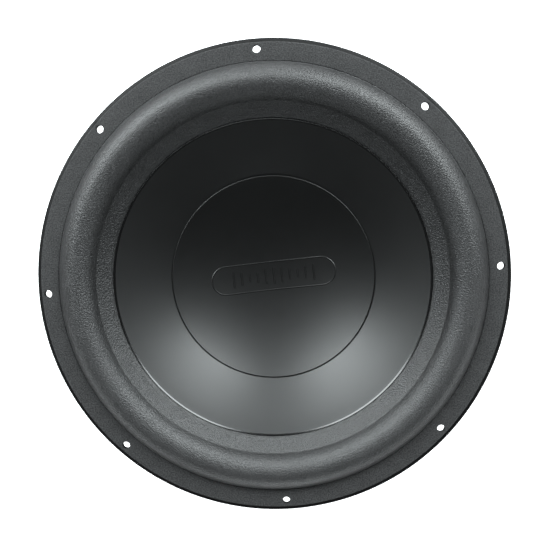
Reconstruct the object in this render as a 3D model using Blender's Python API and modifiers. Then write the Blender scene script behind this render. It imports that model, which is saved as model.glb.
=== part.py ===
"""Car subwoofer driver, lying on its magnet with the cone facing up.

The origin is at the centre of the magnet boot's bottom face and +Z runs along the cone's axis,
out of the front. Lengths are in metres. The terminal blocks stand on the +X and -X sides.
"""

import math

import bmesh
import bpy
from mathutils import Matrix, Vector

# ---- driving dimensions ----
GAP = 0.0003  # air between two pieces that touch on the real object
SEGMENTS = 40  # sides of the large turned pieces
SMALL_SEGMENTS = 12  # sides of screws and holes
TINY_SEGMENTS = 8  # sides of rivets and of the smallest holes
CUT_MARGIN = 0.0020  # how far a cutter runs past the face that it opens

# Magnet motor, from the bottom up
BOOT_RADIUS = 0.0820
BOOT_WALL = 0.0030
BOOT_HEIGHT = 0.0600
BOOT_OPENING_RADIUS = 0.0300
BOOT_TOP_CHAMFER = 0.0010
BOOT_BOTTOM_CHAMFER = 0.0040
PLATE_RADIUS = 0.0755
PLATE_THICKNESS = 0.0100
MAGNET_RADIUS = 0.0780
MAGNET_BORE_RADIUS = 0.0400
MAGNET_THICKNESS = 0.0180
POLE_RADIUS = 0.0300
POLE_STAND_OUT = 0.0035  # the pole's height above the top plate
POLE_CHAMFER = 0.0010
VENT_RADIUS = 0.0140
SCREEN_RADIUS = 0.0160
SCREEN_THICKNESS = 0.0010
SCREEN_HOLE_RADIUS = 0.0028
SCREEN_HOLE_CIRCLE_RADIUS = 0.0088
SCREEN_SEGMENTS = 24
TOP_PLATE_BORE_RADIUS = 0.0342

# Voice coil
FORMER_RADIUS = 0.0315
FORMER_WALL = 0.0005
WINDING_LAYER = 0.0008
WINDING_HEIGHT = 0.0220
WINDING_GAP = 0.0001
FORMER_OVERHANG = 0.0005  # former below the winding
FORMER_STAND_UP = 0.0010  # former above the cone's neck

# Basket, pressed from sheet steel
SHEET = 0.0018
RIM_RADIUS = 0.1560
FLANGE_BACK_Z = 0.1386
CUT_OUT_RADIUS = 0.1372
SKIRT_FOOT = (0.1352, 0.1250)
LEDGE_Z = 0.0860
LEDGE_OUTER_RADIUS = 0.0860
LEDGE_INNER_RADIUS = 0.0742
BASE_OUTER_RADIUS = 0.0722
BASE_INNER_RADIUS = 0.0440
WINDOW_COUNT = 6
WINDOW_INNER_RADIUS = 0.0890
WINDOW_OUTER_RADIUS = 0.1305
SPOKE_WIDTH = 0.0220
WINDOW_CORNER = 0.0050
HOLE_COUNT = 8
HOLE_CIRCLE_RADIUS = 0.14875
HOLE_RADIUS = 0.0026
FRAME_SCREW_COUNT = 6
FRAME_SCREW_CIRCLE_RADIUS = 0.0580
FRAME_SCREW_RADIUS = 0.0025
FRAME_SCREW_HEAD_RADIUS = 0.0045
FRAME_SCREW_HEAD_HEIGHT = 0.0030
FRAME_SCREW_HEAD_CHAMFER = 0.0010
FRAME_SCREW_TIP_HEIGHT = 0.0030  # the tip above the top plate's underside

# Front: gasket, surround, cone and dust cap
GASKET_THICKNESS = 0.0024
GASKET_OUTER_RADIUS = 0.1530
GASKET_INNER_RADIUS = 0.1409
FOOT_RADIUS = 0.1406
FOOT_STEP = 0.0003  # the surround's outer foot above the gasket
FOOT_WIDTH = 0.0036
ROLL_CREST_RADIUS = 0.1284
ROLL_INNER = (0.0131, math.radians(58))  # width of the side, and its tilt where it ends
ROLL_OUTER = (0.0120, math.radians(70))
ROLL_STEPS = 4
SURROUND_WALL = 0.0014
LANDING_INNER_RADIUS = 0.1068
LANDING_DROP = 0.0046
CONE_WALL = 0.0012
CONE_NECK_RADIUS = FORMER_RADIUS + GAP
CONE_NECK_Z = 0.0992
CONE_EDGE_RADIUS = 0.1146
CONE_LIP_RADIUS = 0.1049
CONE_LIP_HEIGHT = 0.0006
CONE_LIP_FLAT = 0.0006
CONE_LIP_WIDTH = 0.0012
CONE_SLOPE = 0.666  # at the neck
CONE_FLARE = 1.50  # how much the slope eases, per metre
CONE_STEPS = 5
CAP_RADIUS = 0.0690
CAP_RIM_SLOPE = math.radians(25.6)
CAP_WALL = 0.0012
CAP_STEPS = 5

# Spider
SPIDER_WALL = 0.0008
SPIDER_OUTER_RADIUS = 0.0845
SPIDER_FLAT_RADIUS = 0.0718
SPIDER_ROLL_START = 0.0370
SPIDER_WAVES = 3
SPIDER_WAVE_HEIGHT = 0.0020

# Push terminals
TAB_FACE_X = 0.0818
TAB_HALF_WIDTH = 0.0275
TAB_BOTTOM_Z = 0.0635
BLOCK_DEPTH = 0.0160
BLOCK_HALF_WIDTH = 0.0215
BLOCK_BOTTOM_Z = 0.0640
BLOCK_TOP_Z = 0.0850
BLOCK_FRONT_WALL = 0.0015
BLOCK_BEVEL = 0.0010
EAR_DEPTH = 0.0025
EAR_HALF_WIDTH = 0.0272
EAR_HALF_HEIGHT = 0.0045
RIVET_Y = 0.0244
RIVET_RADIUS = 0.0013
RIVET_HEAD_RADIUS = 0.0026
RIVET_HEAD_HEIGHT = 0.0012
RIVET_TAIL_RADIUS = 0.0021
RIVET_TAIL_HEIGHT = 0.0010
BUTTON_Y = 0.0095
BUTTON_Z = 0.0762
BUTTON_HALF = (0.0039, 0.0043)  # half width and half height of the part that is pressed
BUTTON_FLANGE = 0.0010  # the shoulder that keeps it in the block
BUTTON_FLANGE_DEPTH = 0.0023
BUTTON_BEVEL = 0.0006
BUTTON_TRAVEL = 0.0025
WIRE_HOLE_Z = 0.0672
WIRE_HOLE_RADIUS = 0.0020
WIRE_HOLE_DEPTH = 0.0100
SPRING_RADIUS = 0.0028
SPRING_WIRE_RADIUS = 0.0003
SPRING_TURNS = 4
SPRING_POINTS_PER_TURN = 6
LUG_X = 0.0884
LUG_Y = 0.0184
LUG_HALF = (0.0004, 0.0020)  # half thickness and half width
LUG_BOTTOM_Z = 0.0705
LUG_TOP_Z = 0.0935
LUG_EYE_RADIUS = 0.0008
LEAD_RADIUS = 0.0010
LEAD_POINTS = 14
LEAD_START_DROP = 0.0015  # the lead's start below the lug's top
LEAD_ROUTE = [(0.0790, 0.0172, 0.0975), (0.0660, 0.0148, 0.0995), (0.0520, 0.0118, 0.0972),
              (0.0410, 0.0092, 0.0947)]  # between the lug and the voice coil former
LEAD_END_Y = 0.0072
LEAD_END_Z = 0.0940

# ---- heights worked out from the dimensions above ----
YOKE_BOTTOM_Z = BOOT_WALL + GAP
MAGNET_Z = (YOKE_BOTTOM_Z + PLATE_THICKNESS + GAP,
            YOKE_BOTTOM_Z + PLATE_THICKNESS + MAGNET_THICKNESS + 2 * GAP)
TOP_PLATE_BOTTOM_Z = MAGNET_Z[1] + MAGNET_THICKNESS + GAP
TOP_PLATE_TOP_Z = TOP_PLATE_BOTTOM_Z + PLATE_THICKNESS
BASE_BOTTOM_Z = TOP_PLATE_TOP_Z + GAP
FLANGE_TOP_Z = FLANGE_BACK_Z + SHEET
GASKET_BOTTOM_Z = FLANGE_TOP_Z + GAP
FACE_Z = GASKET_BOTTOM_Z + GASKET_THICKNESS
FOOT_TOP_Z = FACE_Z + FOOT_STEP
CREST_Z = FOOT_TOP_Z - ROLL_OUTER[0] / ROLL_OUTER[1] * math.log(math.cos(ROLL_OUTER[1]))
VALLEY_RADIUS = ROLL_CREST_RADIUS - ROLL_INNER[0]
VALLEY_Z = CREST_Z + ROLL_INNER[0] / ROLL_INNER[1] * math.log(math.cos(ROLL_INNER[1]))
WINDING_CENTRE_Z = TOP_PLATE_BOTTOM_Z + PLATE_THICKNESS / 2
WINDING_BOTTOM_Z = WINDING_CENTRE_Z - WINDING_HEIGHT / 2
SPIDER_BOTTOM_Z = LEDGE_Z + SHEET + GAP
BLOCK_BACK_X = TAB_FACE_X + GAP
BLOCK_FRONT_X = BLOCK_BACK_X + BLOCK_DEPTH
RIVET_Z = (BLOCK_BOTTOM_Z + BLOCK_TOP_Z) / 2
SIDES = {"a": 1, "b": -1}  # terminal block a stands on the +X side, b on the -X side
POLES = {"positive": 1, "negative": -1}


# ---- scene and materials ----
def clear_scene():
    for old in list(bpy.data.objects):
        bpy.data.objects.remove(old, do_unlink=True)


def collection(name):
    made = bpy.data.collections.new(name)
    bpy.context.scene.collection.children.link(made)
    return made


def material(name, colour, roughness, metallic=0.0):
    made = bpy.data.materials.new(name)
    made.use_nodes = True
    shader = made.node_tree.nodes["Principled BSDF"]
    shader.inputs["Base Color"].default_value = (*colour, 1.0)
    shader.inputs["Roughness"].default_value = roughness
    shader.inputs["Metallic"].default_value = metallic
    return made


# ---- shape helpers ----
def add_object(name, data, finish):
    made = bpy.data.objects.new(name, data)
    PARTS.objects.link(made)
    if finish:
        data.materials.append(finish)
    return made


def add_cutter(name, mesh):
    made = bpy.data.objects.new(name, mesh)
    CUTTERS.objects.link(made)
    made.hide_render = True
    made.display_type = "WIRE"
    return made


def mesh_from(name, bm):
    mesh = bpy.data.meshes.new(name)
    bm.to_mesh(mesh)
    bm.free()
    return mesh


def turned(name, profile, finish, loop=True, segments=SEGMENTS):
    """Profile points (radius, z) spun round Z. The outer side runs from top to bottom."""
    bm = bmesh.new()
    points = [bm.verts.new((radius, 0, z)) for radius, z in profile]
    for first, second in zip(points, points[1:]):
        bm.edges.new((first, second))
    if loop:
        bm.edges.new((points[-1], points[0]))
    made = add_object(name, mesh_from(name, bm), finish)
    screw = made.modifiers.new("Turn", "SCREW")
    screw.axis = "Z"
    screw.angle = math.tau
    screw.steps = segments
    screw.render_steps = segments
    screw.use_merge_vertices = True
    screw.merge_threshold = 0.00001
    screw.use_smooth_shade = True
    return made


def ring(name, inner, outer, bottom, top, finish):
    return turned(name, [(inner, top), (outer, top), (outer, bottom), (inner, bottom)], finish)


def cylinder(bm, place, radius, depth, sides=SMALL_SEGMENTS, axis="Z"):
    """Adds a cylinder centred on place, along Z or X."""
    turn = Matrix.Rotation(math.radians(90), 4, "Y") if axis == "X" else Matrix.Identity(4)
    bmesh.ops.create_cone(bm, cap_ends=True, segments=sides, radius1=radius, radius2=radius,
                          depth=depth, matrix=Matrix.Translation(place) @ turn)


def box(bm, low, high):
    low, high = Vector(low), Vector(high)
    size = Matrix.Diagonal((*(high - low), 1.0))
    bmesh.ops.create_cube(bm, size=1.0, matrix=Matrix.Translation((low + high) / 2) @ size)


def prism(bm, outline, bottom, top):
    """Extrudes the outline, a list of (x, y), from bottom to top."""
    face = bm.faces.new([bm.verts.new((x, y, bottom)) for x, y in outline])
    grown = bmesh.ops.extrude_face_region(bm, geom=[face])["geom"]
    raised = [item for item in grown if isinstance(item, bmesh.types.BMVert)]
    bmesh.ops.translate(bm, vec=(0, 0, top - bottom), verts=raised)
    bmesh.ops.recalc_face_normals(bm, faces=bm.faces)


def boolean(target, cutter, operation="DIFFERENCE"):
    modifier = target.modifiers.new(cutter.name, "BOOLEAN")
    modifier.operation = operation
    modifier.solver = "EXACT"
    modifier.object = cutter


def bevel(target, width, segments=1):
    modifier = target.modifiers.new("Bevel", "BEVEL")
    modifier.width = width
    modifier.segments = segments
    modifier.limit_method = "ANGLE"
    modifier.angle_limit = math.radians(50)


def polar(radius, angle, z=0.0):
    return Vector((radius * math.cos(angle), radius * math.sin(angle), z))


def round_the_clock(count, start=0.0):
    return [start + math.tau * step / count for step in range(count)]


def holes_cutter(name, circle, count, radius, bottom, top):
    bm = bmesh.new()
    for angle in round_the_clock(count):
        cylinder(bm, polar(circle, angle, (bottom + top) / 2), radius, top - bottom)
    return add_cutter(name, mesh_from(name, bm))


def roll_side(width, tilt, depth):
    """One side of the roll from its crest to its end, as (sideways, up), at a depth in the foam."""
    points = []
    for step in range(ROLL_STEPS + 1):
        angle = tilt * step / ROLL_STEPS
        points.append((width * step / ROLL_STEPS - depth * math.sin(angle),
                       width / tilt * math.log(math.cos(angle)) - depth * math.cos(angle)))
    return points


def roll_line(depth=0.0):
    """The roll from its valley over the crest to its foot."""
    inner = [(ROLL_CREST_RADIUS - x, CREST_Z + z) for x, z in roll_side(*ROLL_INNER, depth)]
    outer = [(ROLL_CREST_RADIUS + x, CREST_Z + z) for x, z in roll_side(*ROLL_OUTER, depth)]
    return inner[::-1] + outer[1:]


def wire(name, points, radius, finish, resolution=2):
    """A tube along the points, with closed ends."""
    curve = bpy.data.curves.new(name, "CURVE")
    curve.dimensions = "3D"
    curve.bevel_depth = radius
    curve.bevel_resolution = resolution
    curve.use_fill_caps = True
    spline = curve.splines.new("POLY")
    spline.points.add(len(points) - 1)
    for slot, place in zip(spline.points, points):
        slot.co = (*place, 1.0)
    return add_object(name, curve, finish)


def smooth_path(route, count):
    """Points spread along a Catmull-Rom curve through the route."""
    ends = [2 * route[0] - route[1], *route, 2 * route[-1] - route[-2]]
    path = []
    for step in range(count):
        along = (len(route) - 1) * step / (count - 1)
        index = min(int(along), len(route) - 2)
        t = along - index
        p0, p1, p2, p3 = ends[index:index + 4]
        path.append(0.5 * (2 * p1 + (p2 - p0) * t + (2 * p0 - 5 * p1 + 4 * p2 - p3) * t ** 2
                           + (3 * p1 - p0 - 3 * p2 + p3) * t ** 3))
    return path


# ---- magnet motor ----
def make_boot():
    inner = BOOT_RADIUS - BOOT_WALL
    profile = [(inner, BOOT_HEIGHT), (BOOT_RADIUS - BOOT_TOP_CHAMFER, BOOT_HEIGHT),
               (BOOT_RADIUS, BOOT_HEIGHT - BOOT_TOP_CHAMFER), (BOOT_RADIUS, BOOT_BOTTOM_CHAMFER),
               (BOOT_RADIUS - BOOT_BOTTOM_CHAMFER, 0.0), (BOOT_OPENING_RADIUS, 0.0),
               (BOOT_OPENING_RADIUS, BOOT_WALL), (inner, BOOT_WALL)]
    turned("magnet_boot", profile, BOOT_RUBBER)


def make_yoke():
    """Back plate and vented pole in one piece, with a recess for the vent screen."""
    pole_top = TOP_PLATE_TOP_Z + POLE_STAND_OUT
    plate_top = YOKE_BOTTOM_Z + PLATE_THICKNESS
    recess = SCREEN_RADIUS + GAP
    recess_top = YOKE_BOTTOM_Z + SCREEN_THICKNESS + GAP
    profile = [(VENT_RADIUS, pole_top), (POLE_RADIUS - POLE_CHAMFER, pole_top),
               (POLE_RADIUS, pole_top - POLE_CHAMFER), (POLE_RADIUS, plate_top),
               (PLATE_RADIUS, plate_top), (PLATE_RADIUS, YOKE_BOTTOM_Z),
               (recess, YOKE_BOTTOM_Z), (recess, recess_top), (VENT_RADIUS, recess_top)]
    turned("back_plate_with_pole", profile, PLATED_STEEL)


def make_vent_screen():
    screen = turned("vent_screen", [
        (0, YOKE_BOTTOM_Z + SCREEN_THICKNESS), (SCREEN_RADIUS, YOKE_BOTTOM_Z + SCREEN_THICKNESS),
        (SCREEN_RADIUS, YOKE_BOTTOM_Z), (0, YOKE_BOTTOM_Z)], SCREEN_STEEL, loop=False,
        segments=SCREEN_SEGMENTS)
    bm = bmesh.new()
    middle = YOKE_BOTTOM_Z + SCREEN_THICKNESS / 2
    centres = [polar(SCREEN_HOLE_CIRCLE_RADIUS, angle, middle) for angle in round_the_clock(6)]
    for centre in [Vector((0, 0, middle)), *centres]:
        cylinder(bm, centre, SCREEN_HOLE_RADIUS, 3 * SCREEN_THICKNESS, TINY_SEGMENTS)
    boolean(screen, add_cutter("vent_screen_holes", mesh_from("vent_screen_holes", bm)))


def make_magnets():
    for name, bottom in zip(("magnet_lower", "magnet_upper"), MAGNET_Z):
        ring(name, MAGNET_BORE_RADIUS, MAGNET_RADIUS, bottom, bottom + MAGNET_THICKNESS, FERRITE)


def make_top_plate():
    plate = ring("top_plate", TOP_PLATE_BORE_RADIUS, PLATE_RADIUS, TOP_PLATE_BOTTOM_Z,
                 TOP_PLATE_TOP_Z, PLATED_STEEL)
    boolean(plate, holes_cutter("top_plate_holes", FRAME_SCREW_CIRCLE_RADIUS, FRAME_SCREW_COUNT,
                                FRAME_SCREW_RADIUS + GAP, TOP_PLATE_BOTTOM_Z + CUT_MARGIN,
                                TOP_PLATE_TOP_Z + CUT_MARGIN))


# ---- basket ----
def window_outline(middle):
    """An opening between two spokes of constant width, with rounded corners."""
    corners = []
    for radius, side in ((WINDOW_INNER_RADIUS, -1), (WINDOW_OUTER_RADIUS, 1)):
        half = math.pi / WINDOW_COUNT - math.asin(SPOKE_WIDTH / 2 / radius)
        inset = math.asin(WINDOW_CORNER / radius)
        edge = radius - side * WINDOW_CORNER
        steps = 4
        span = [polar(radius, middle + (half - inset) * (2 * step / steps - 1) * -side)
                for step in range(steps + 1)]
        start = polar(edge, middle + half * side)
        finish = polar(edge, middle - half * side)
        corners += [start, *span, finish]
    return [(point.x, point.y) for point in corners]


def make_basket():
    profile = [(RIM_RADIUS, FLANGE_BACK_Z), (CUT_OUT_RADIUS, FLANGE_BACK_Z), SKIRT_FOOT,
               (LEDGE_OUTER_RADIUS, LEDGE_Z), (LEDGE_INNER_RADIUS, LEDGE_Z),
               (BASE_OUTER_RADIUS, BASE_BOTTOM_Z), (BASE_INNER_RADIUS, BASE_BOTTOM_Z)]
    basket = turned("basket", profile, BASKET_PAINT, loop=False)
    shell = basket.modifiers.new("Sheet", "SOLIDIFY")
    shell.thickness = SHEET
    shell.offset = -1
    shell.use_even_offset = True

    bm = bmesh.new()
    for angle in round_the_clock(WINDOW_COUNT):
        prism(bm, window_outline(angle), LEDGE_Z - 2 * CUT_MARGIN, FLANGE_BACK_Z - 2 * CUT_MARGIN)
    boolean(basket, add_cutter("basket_windows", mesh_from("basket_windows", bm)))

    bm = bmesh.new()
    for side in SIDES.values():
        faces = sorted((side * (TAB_FACE_X - SHEET), side * TAB_FACE_X))
        box(bm, (faces[0], -TAB_HALF_WIDTH, TAB_BOTTOM_Z),
            (faces[1], TAB_HALF_WIDTH, LEDGE_Z + SHEET / 2))
    boolean(basket, add_cutter("terminal_tabs", mesh_from("terminal_tabs", bm)), "UNION")

    bm = bmesh.new()
    for side in SIDES.values():
        for y in (-RIVET_Y, RIVET_Y):
            cylinder(bm, (side * TAB_FACE_X, y, RIVET_Z), RIVET_RADIUS + GAP,
                     2 * (SHEET + CUT_MARGIN), TINY_SEGMENTS, "X")
    boolean(basket, add_cutter("rivet_holes", mesh_from("rivet_holes", bm)))
    boolean(basket, holes_cutter("basket_base_holes", FRAME_SCREW_CIRCLE_RADIUS,
                                 FRAME_SCREW_COUNT, FRAME_SCREW_RADIUS + GAP,
                                 BASE_BOTTOM_Z - CUT_MARGIN, BASE_BOTTOM_Z + SHEET + CUT_MARGIN))
    boolean(basket, holes_cutter("flange_holes", HOLE_CIRCLE_RADIUS, HOLE_COUNT, HOLE_RADIUS,
                                 FLANGE_BACK_Z - CUT_MARGIN, FLANGE_TOP_Z + CUT_MARGIN))


def make_frame_screws():
    head_bottom = BASE_BOTTOM_Z + SHEET + GAP
    head_top = head_bottom + FRAME_SCREW_HEAD_HEIGHT
    tip = TOP_PLATE_BOTTOM_Z + FRAME_SCREW_TIP_HEIGHT
    profile = [(0, head_top), (FRAME_SCREW_HEAD_RADIUS - FRAME_SCREW_HEAD_CHAMFER, head_top),
               (FRAME_SCREW_HEAD_RADIUS, head_top - FRAME_SCREW_HEAD_CHAMFER),
               (FRAME_SCREW_HEAD_RADIUS, head_bottom), (FRAME_SCREW_RADIUS, head_bottom),
               (FRAME_SCREW_RADIUS, tip), (0, tip)]
    for number, angle in enumerate(round_the_clock(FRAME_SCREW_COUNT), 1):
        screw = turned(f"frame_screw_{number}", profile, SCREW_STEEL, False, SMALL_SEGMENTS)
        screw.location = polar(FRAME_SCREW_CIRCLE_RADIUS, angle)


# ---- front ----
def make_gasket():
    gasket = ring("front_gasket", GASKET_INNER_RADIUS, GASKET_OUTER_RADIUS, GASKET_BOTTOM_Z,
                  FACE_Z, GASKET_RUBBER)
    boolean(gasket, holes_cutter("gasket_holes", HOLE_CIRCLE_RADIUS, HOLE_COUNT, HOLE_RADIUS,
                                 GASKET_BOTTOM_Z - CUT_MARGIN, FACE_Z + CUT_MARGIN))


def make_surround():
    """A roll with a thick outer foot, and a sloping landing glued over the cone's edge."""
    landing_z = VALLEY_Z - LANDING_DROP
    profile = [(LANDING_INNER_RADIUS, landing_z), *roll_line(),
               (FOOT_RADIUS, FOOT_TOP_Z), (FOOT_RADIUS, GASKET_BOTTOM_Z),
               (FOOT_RADIUS - FOOT_WIDTH, GASKET_BOTTOM_Z), *roll_line(SURROUND_WALL)[::-1],
               (VALLEY_RADIUS, VALLEY_Z - SURROUND_WALL),
               (LANDING_INNER_RADIUS, landing_z - SURROUND_WALL)]
    turned("surround", profile, SURROUND_FOAM)


def cone_front(radius):
    """Height of the cone's front face."""
    run = radius - CONE_NECK_RADIUS
    return CONE_NECK_Z + CONE_SLOPE * run - CONE_FLARE * run ** 2


def make_cone():
    edge_z = VALLEY_Z - SURROUND_WALL - GAP
    rise = LANDING_DROP / (VALLEY_RADIUS - LANDING_INNER_RADIUS)
    edge = (CONE_EDGE_RADIUS, edge_z - rise * (VALLEY_RADIUS - CONE_EDGE_RADIUS))
    seat_radius = LANDING_INNER_RADIUS - GAP
    seat = (seat_radius, edge_z - rise * (VALLEY_RADIUS - seat_radius))
    lip_z = seat[1] + CONE_LIP_HEIGHT
    lip = [(CONE_LIP_RADIUS - CONE_LIP_FLAT, lip_z), (CONE_LIP_RADIUS, lip_z)]
    width = CONE_LIP_RADIUS - CONE_LIP_WIDTH - CONE_NECK_RADIUS
    radii = [CONE_NECK_RADIUS + width * step / CONE_STEPS for step in range(CONE_STEPS + 1)]
    front = [(radius, cone_front(radius)) for radius in radii]
    back = [(radius, z - CONE_WALL) for radius, z in reversed([*front, seat, edge])]
    turned("cone", [*front, *lip, seat, edge, *back], CONE_PLASTIC)


def make_dust_cap():
    """A dished cap: its rim rests on the cone and its middle sinks towards the coil."""
    sphere = CAP_RADIUS / math.sin(CAP_RIM_SLOPE)
    rim_z = cone_front(CAP_RADIUS) + GAP + CAP_WALL
    angles = [CAP_RIM_SLOPE * step / CAP_STEPS for step in range(CAP_STEPS + 1)]
    centre_z = rim_z + sphere * math.cos(CAP_RIM_SLOPE)
    front = [(sphere * math.sin(a), centre_z - sphere * math.cos(a)) for a in angles]
    back = [(radius, z - CAP_WALL) for radius, z in reversed(front)]
    turned("dust_cap", [*front, *back], CAP_PLASTIC, loop=False)


# ---- voice coil and spider ----
def make_voice_coil():
    inner = FORMER_RADIUS - FORMER_WALL
    ring("coil_former", inner, FORMER_RADIUS, WINDING_BOTTOM_Z - FORMER_OVERHANG,
         CONE_NECK_Z + FORMER_STAND_UP, FORMER_ALUMINIUM)
    radius = FORMER_RADIUS + WINDING_GAP
    for name in ("coil_winding_inner", "coil_winding_outer"):
        ring(name, radius, radius + WINDING_LAYER, WINDING_BOTTOM_Z,
             WINDING_BOTTOM_Z + WINDING_HEIGHT, COPPER)
        radius += WINDING_LAYER + WINDING_GAP


def spider_height(radius):
    """Corrugations between the inner collar and the flat outer ring."""
    along = (radius - SPIDER_ROLL_START) / (SPIDER_FLAT_RADIUS - SPIDER_ROLL_START)
    return SPIDER_WAVE_HEIGHT * math.sin(math.tau * SPIDER_WAVES * min(max(along, 0.0), 1.0))


def make_spider():
    middle = SPIDER_BOTTOM_Z + SPIDER_WALL / 2
    waves = 4 * SPIDER_WAVES
    width = SPIDER_FLAT_RADIUS - SPIDER_ROLL_START
    radii = [SPIDER_ROLL_START + width * step / waves for step in range(waves + 1)]
    radii = [CONE_NECK_RADIUS, *radii, SPIDER_OUTER_RADIUS]
    line = [(radius, middle + spider_height(radius)) for radius in radii]
    upper = [(radius, z + SPIDER_WALL / 2) for radius, z in line]
    lower = [(radius, z - SPIDER_WALL / 2) for radius, z in reversed(line)]
    turned("spider", [*upper, *lower], SPIDER_CLOTH)


# ---- push terminals ----
def block_pockets(bm):
    """The two button pockets, open at the block's back."""
    half_width, half_height = BUTTON_HALF
    for pole in POLES.values():
        y = pole * BUTTON_Y
        wide = half_width + BUTTON_FLANGE + GAP
        tall = half_height + BUTTON_FLANGE + GAP
        box(bm, (BLOCK_BACK_X - CUT_MARGIN, y - wide, BUTTON_Z - tall),
            (BLOCK_FRONT_X - BLOCK_FRONT_WALL, y + wide, BUTTON_Z + tall))
    return bm


def block_mouths(bm):
    """The buttons' mouths, the wire holes, the slots of the lugs and the rivet holes."""
    half_width, half_height = BUTTON_HALF
    start = BLOCK_FRONT_X - BLOCK_FRONT_WALL - CUT_MARGIN
    for pole in POLES.values():
        y = pole * BUTTON_Y
        box(bm, (start, y - half_width - GAP, BUTTON_Z - half_height - GAP),
            (BLOCK_FRONT_X + CUT_MARGIN, y + half_width + GAP, BUTTON_Z + half_height + GAP))
        cylinder(bm, (BLOCK_FRONT_X - (WIRE_HOLE_DEPTH - CUT_MARGIN) / 2, y, WIRE_HOLE_Z),
                 WIRE_HOLE_RADIUS, WIRE_HOLE_DEPTH + CUT_MARGIN, SMALL_SEGMENTS, "X")
        slot = [half + GAP for half in LUG_HALF]
        box(bm, (LUG_X - slot[0], pole * LUG_Y - slot[1], LUG_BOTTOM_Z - GAP),
            (LUG_X + slot[0], pole * LUG_Y + slot[1], BLOCK_TOP_Z + CUT_MARGIN))
        cylinder(bm, (BLOCK_BACK_X + EAR_DEPTH / 2, pole * RIVET_Y, RIVET_Z),
                 RIVET_RADIUS + GAP, EAR_DEPTH * 2, TINY_SEGMENTS, "X")
    return bm


def make_block(name, turn):
    bm = bmesh.new()
    box(bm, (BLOCK_BACK_X, -BLOCK_HALF_WIDTH, BLOCK_BOTTOM_Z),
        (BLOCK_FRONT_X, BLOCK_HALF_WIDTH, BLOCK_TOP_Z))
    block = add_object(name, mesh_from(name, bm), TERMINAL_PLASTIC)
    bevel(block, BLOCK_BEVEL)
    bm = bmesh.new()
    box(bm, (BLOCK_BACK_X, -EAR_HALF_WIDTH, RIVET_Z - EAR_HALF_HEIGHT),
        (BLOCK_BACK_X + EAR_DEPTH, EAR_HALF_WIDTH, RIVET_Z + EAR_HALF_HEIGHT))
    cutters = [(add_cutter(f"{name}_ears", mesh_from(f"{name}_ears", bm)), "UNION")]
    for label, shapes in (("pockets", block_pockets), ("mouths", block_mouths)):
        mesh = mesh_from(f"{name}_{label}", shapes(bmesh.new()))
        cutters.append((add_cutter(f"{name}_{label}", mesh), "DIFFERENCE"))
    for cutter, operation in cutters:
        cutter.matrix_world = turn
        boolean(block, cutter, operation)
    block.matrix_world = turn


def make_button(name, y, turn, finish):
    """A stepped button. Its origin is on the line that it slides along."""
    half_width, half_height = BUTTON_HALF
    shoulder = BLOCK_FRONT_X - BLOCK_FRONT_WALL - GAP
    bm = bmesh.new()
    box(bm, (shoulder - BUTTON_FLANGE, -half_width, -half_height),
        (BLOCK_FRONT_X + BUTTON_TRAVEL, half_width, half_height))
    button = add_object(name, mesh_from(name, bm), finish)
    bevel(button, BUTTON_BEVEL)
    bm = bmesh.new()
    box(bm, (shoulder - BUTTON_FLANGE_DEPTH, -half_width - BUTTON_FLANGE,
             -half_height - BUTTON_FLANGE),
        (shoulder, half_width + BUTTON_FLANGE, half_height + BUTTON_FLANGE))
    flange = add_cutter(f"{name}_shoulder", mesh_from(f"{name}_shoulder", bm))
    place = turn @ Matrix.Translation((0, y, BUTTON_Z))
    flange.matrix_world = place
    button.matrix_world = place
    boolean(button, flange, "UNION")


def make_spring(name, y, turn):
    start = BLOCK_BACK_X + SPRING_WIRE_RADIUS
    end = (BLOCK_FRONT_X - BLOCK_FRONT_WALL - BUTTON_FLANGE_DEPTH - 2 * GAP
           - SPRING_WIRE_RADIUS)
    count = SPRING_TURNS * SPRING_POINTS_PER_TURN
    points = []
    for step in range(count + 1):
        angle = math.tau * step / SPRING_POINTS_PER_TURN
        points.append(turn @ Vector((start + (end - start) * step / count,
                                     y + SPRING_RADIUS * math.cos(angle),
                                     BUTTON_Z + SPRING_RADIUS * math.sin(angle))))
    wire(name, points, SPRING_WIRE_RADIUS, SPRING_STEEL, resolution=1)


def make_lug(name, y, turn):
    thick, wide = LUG_HALF
    bm = bmesh.new()
    box(bm, (LUG_X - thick, y - wide, LUG_BOTTOM_Z), (LUG_X + thick, y + wide, LUG_TOP_Z))
    lug = add_object(name, mesh_from(name, bm), BRASS)
    bm = bmesh.new()
    cylinder(bm, (LUG_X, y, LUG_TOP_Z - wide / 2), LUG_EYE_RADIUS, 4 * thick, TINY_SEGMENTS, "X")
    eye = add_cutter(f"{name}_eye", mesh_from(f"{name}_eye", bm))
    eye.matrix_world = turn
    lug.matrix_world = turn
    boolean(lug, eye)


def make_rivet(name, y, turn):
    """A blind rivet through the block's ear and the basket's tab, headed on both sides."""
    outside = BLOCK_BACK_X + EAR_DEPTH + GAP
    inside = TAB_FACE_X - SHEET - GAP
    top = outside + RIVET_HEAD_HEIGHT
    tail = inside - RIVET_TAIL_HEIGHT
    profile = [(0, top), (RIVET_HEAD_RADIUS - RIVET_HEAD_HEIGHT, top),
               (RIVET_HEAD_RADIUS, outside), (RIVET_RADIUS, outside), (RIVET_RADIUS, inside),
               (RIVET_TAIL_RADIUS, inside), (RIVET_TAIL_RADIUS, tail), (0, tail)]
    rivet = turned(name, profile, RIVET_ALUMINIUM, False, TINY_SEGMENTS)
    rivet.matrix_world = (turn @ Matrix.Translation((0, y, RIVET_Z))
                          @ Matrix.Rotation(math.radians(90), 4, "Y"))


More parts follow.
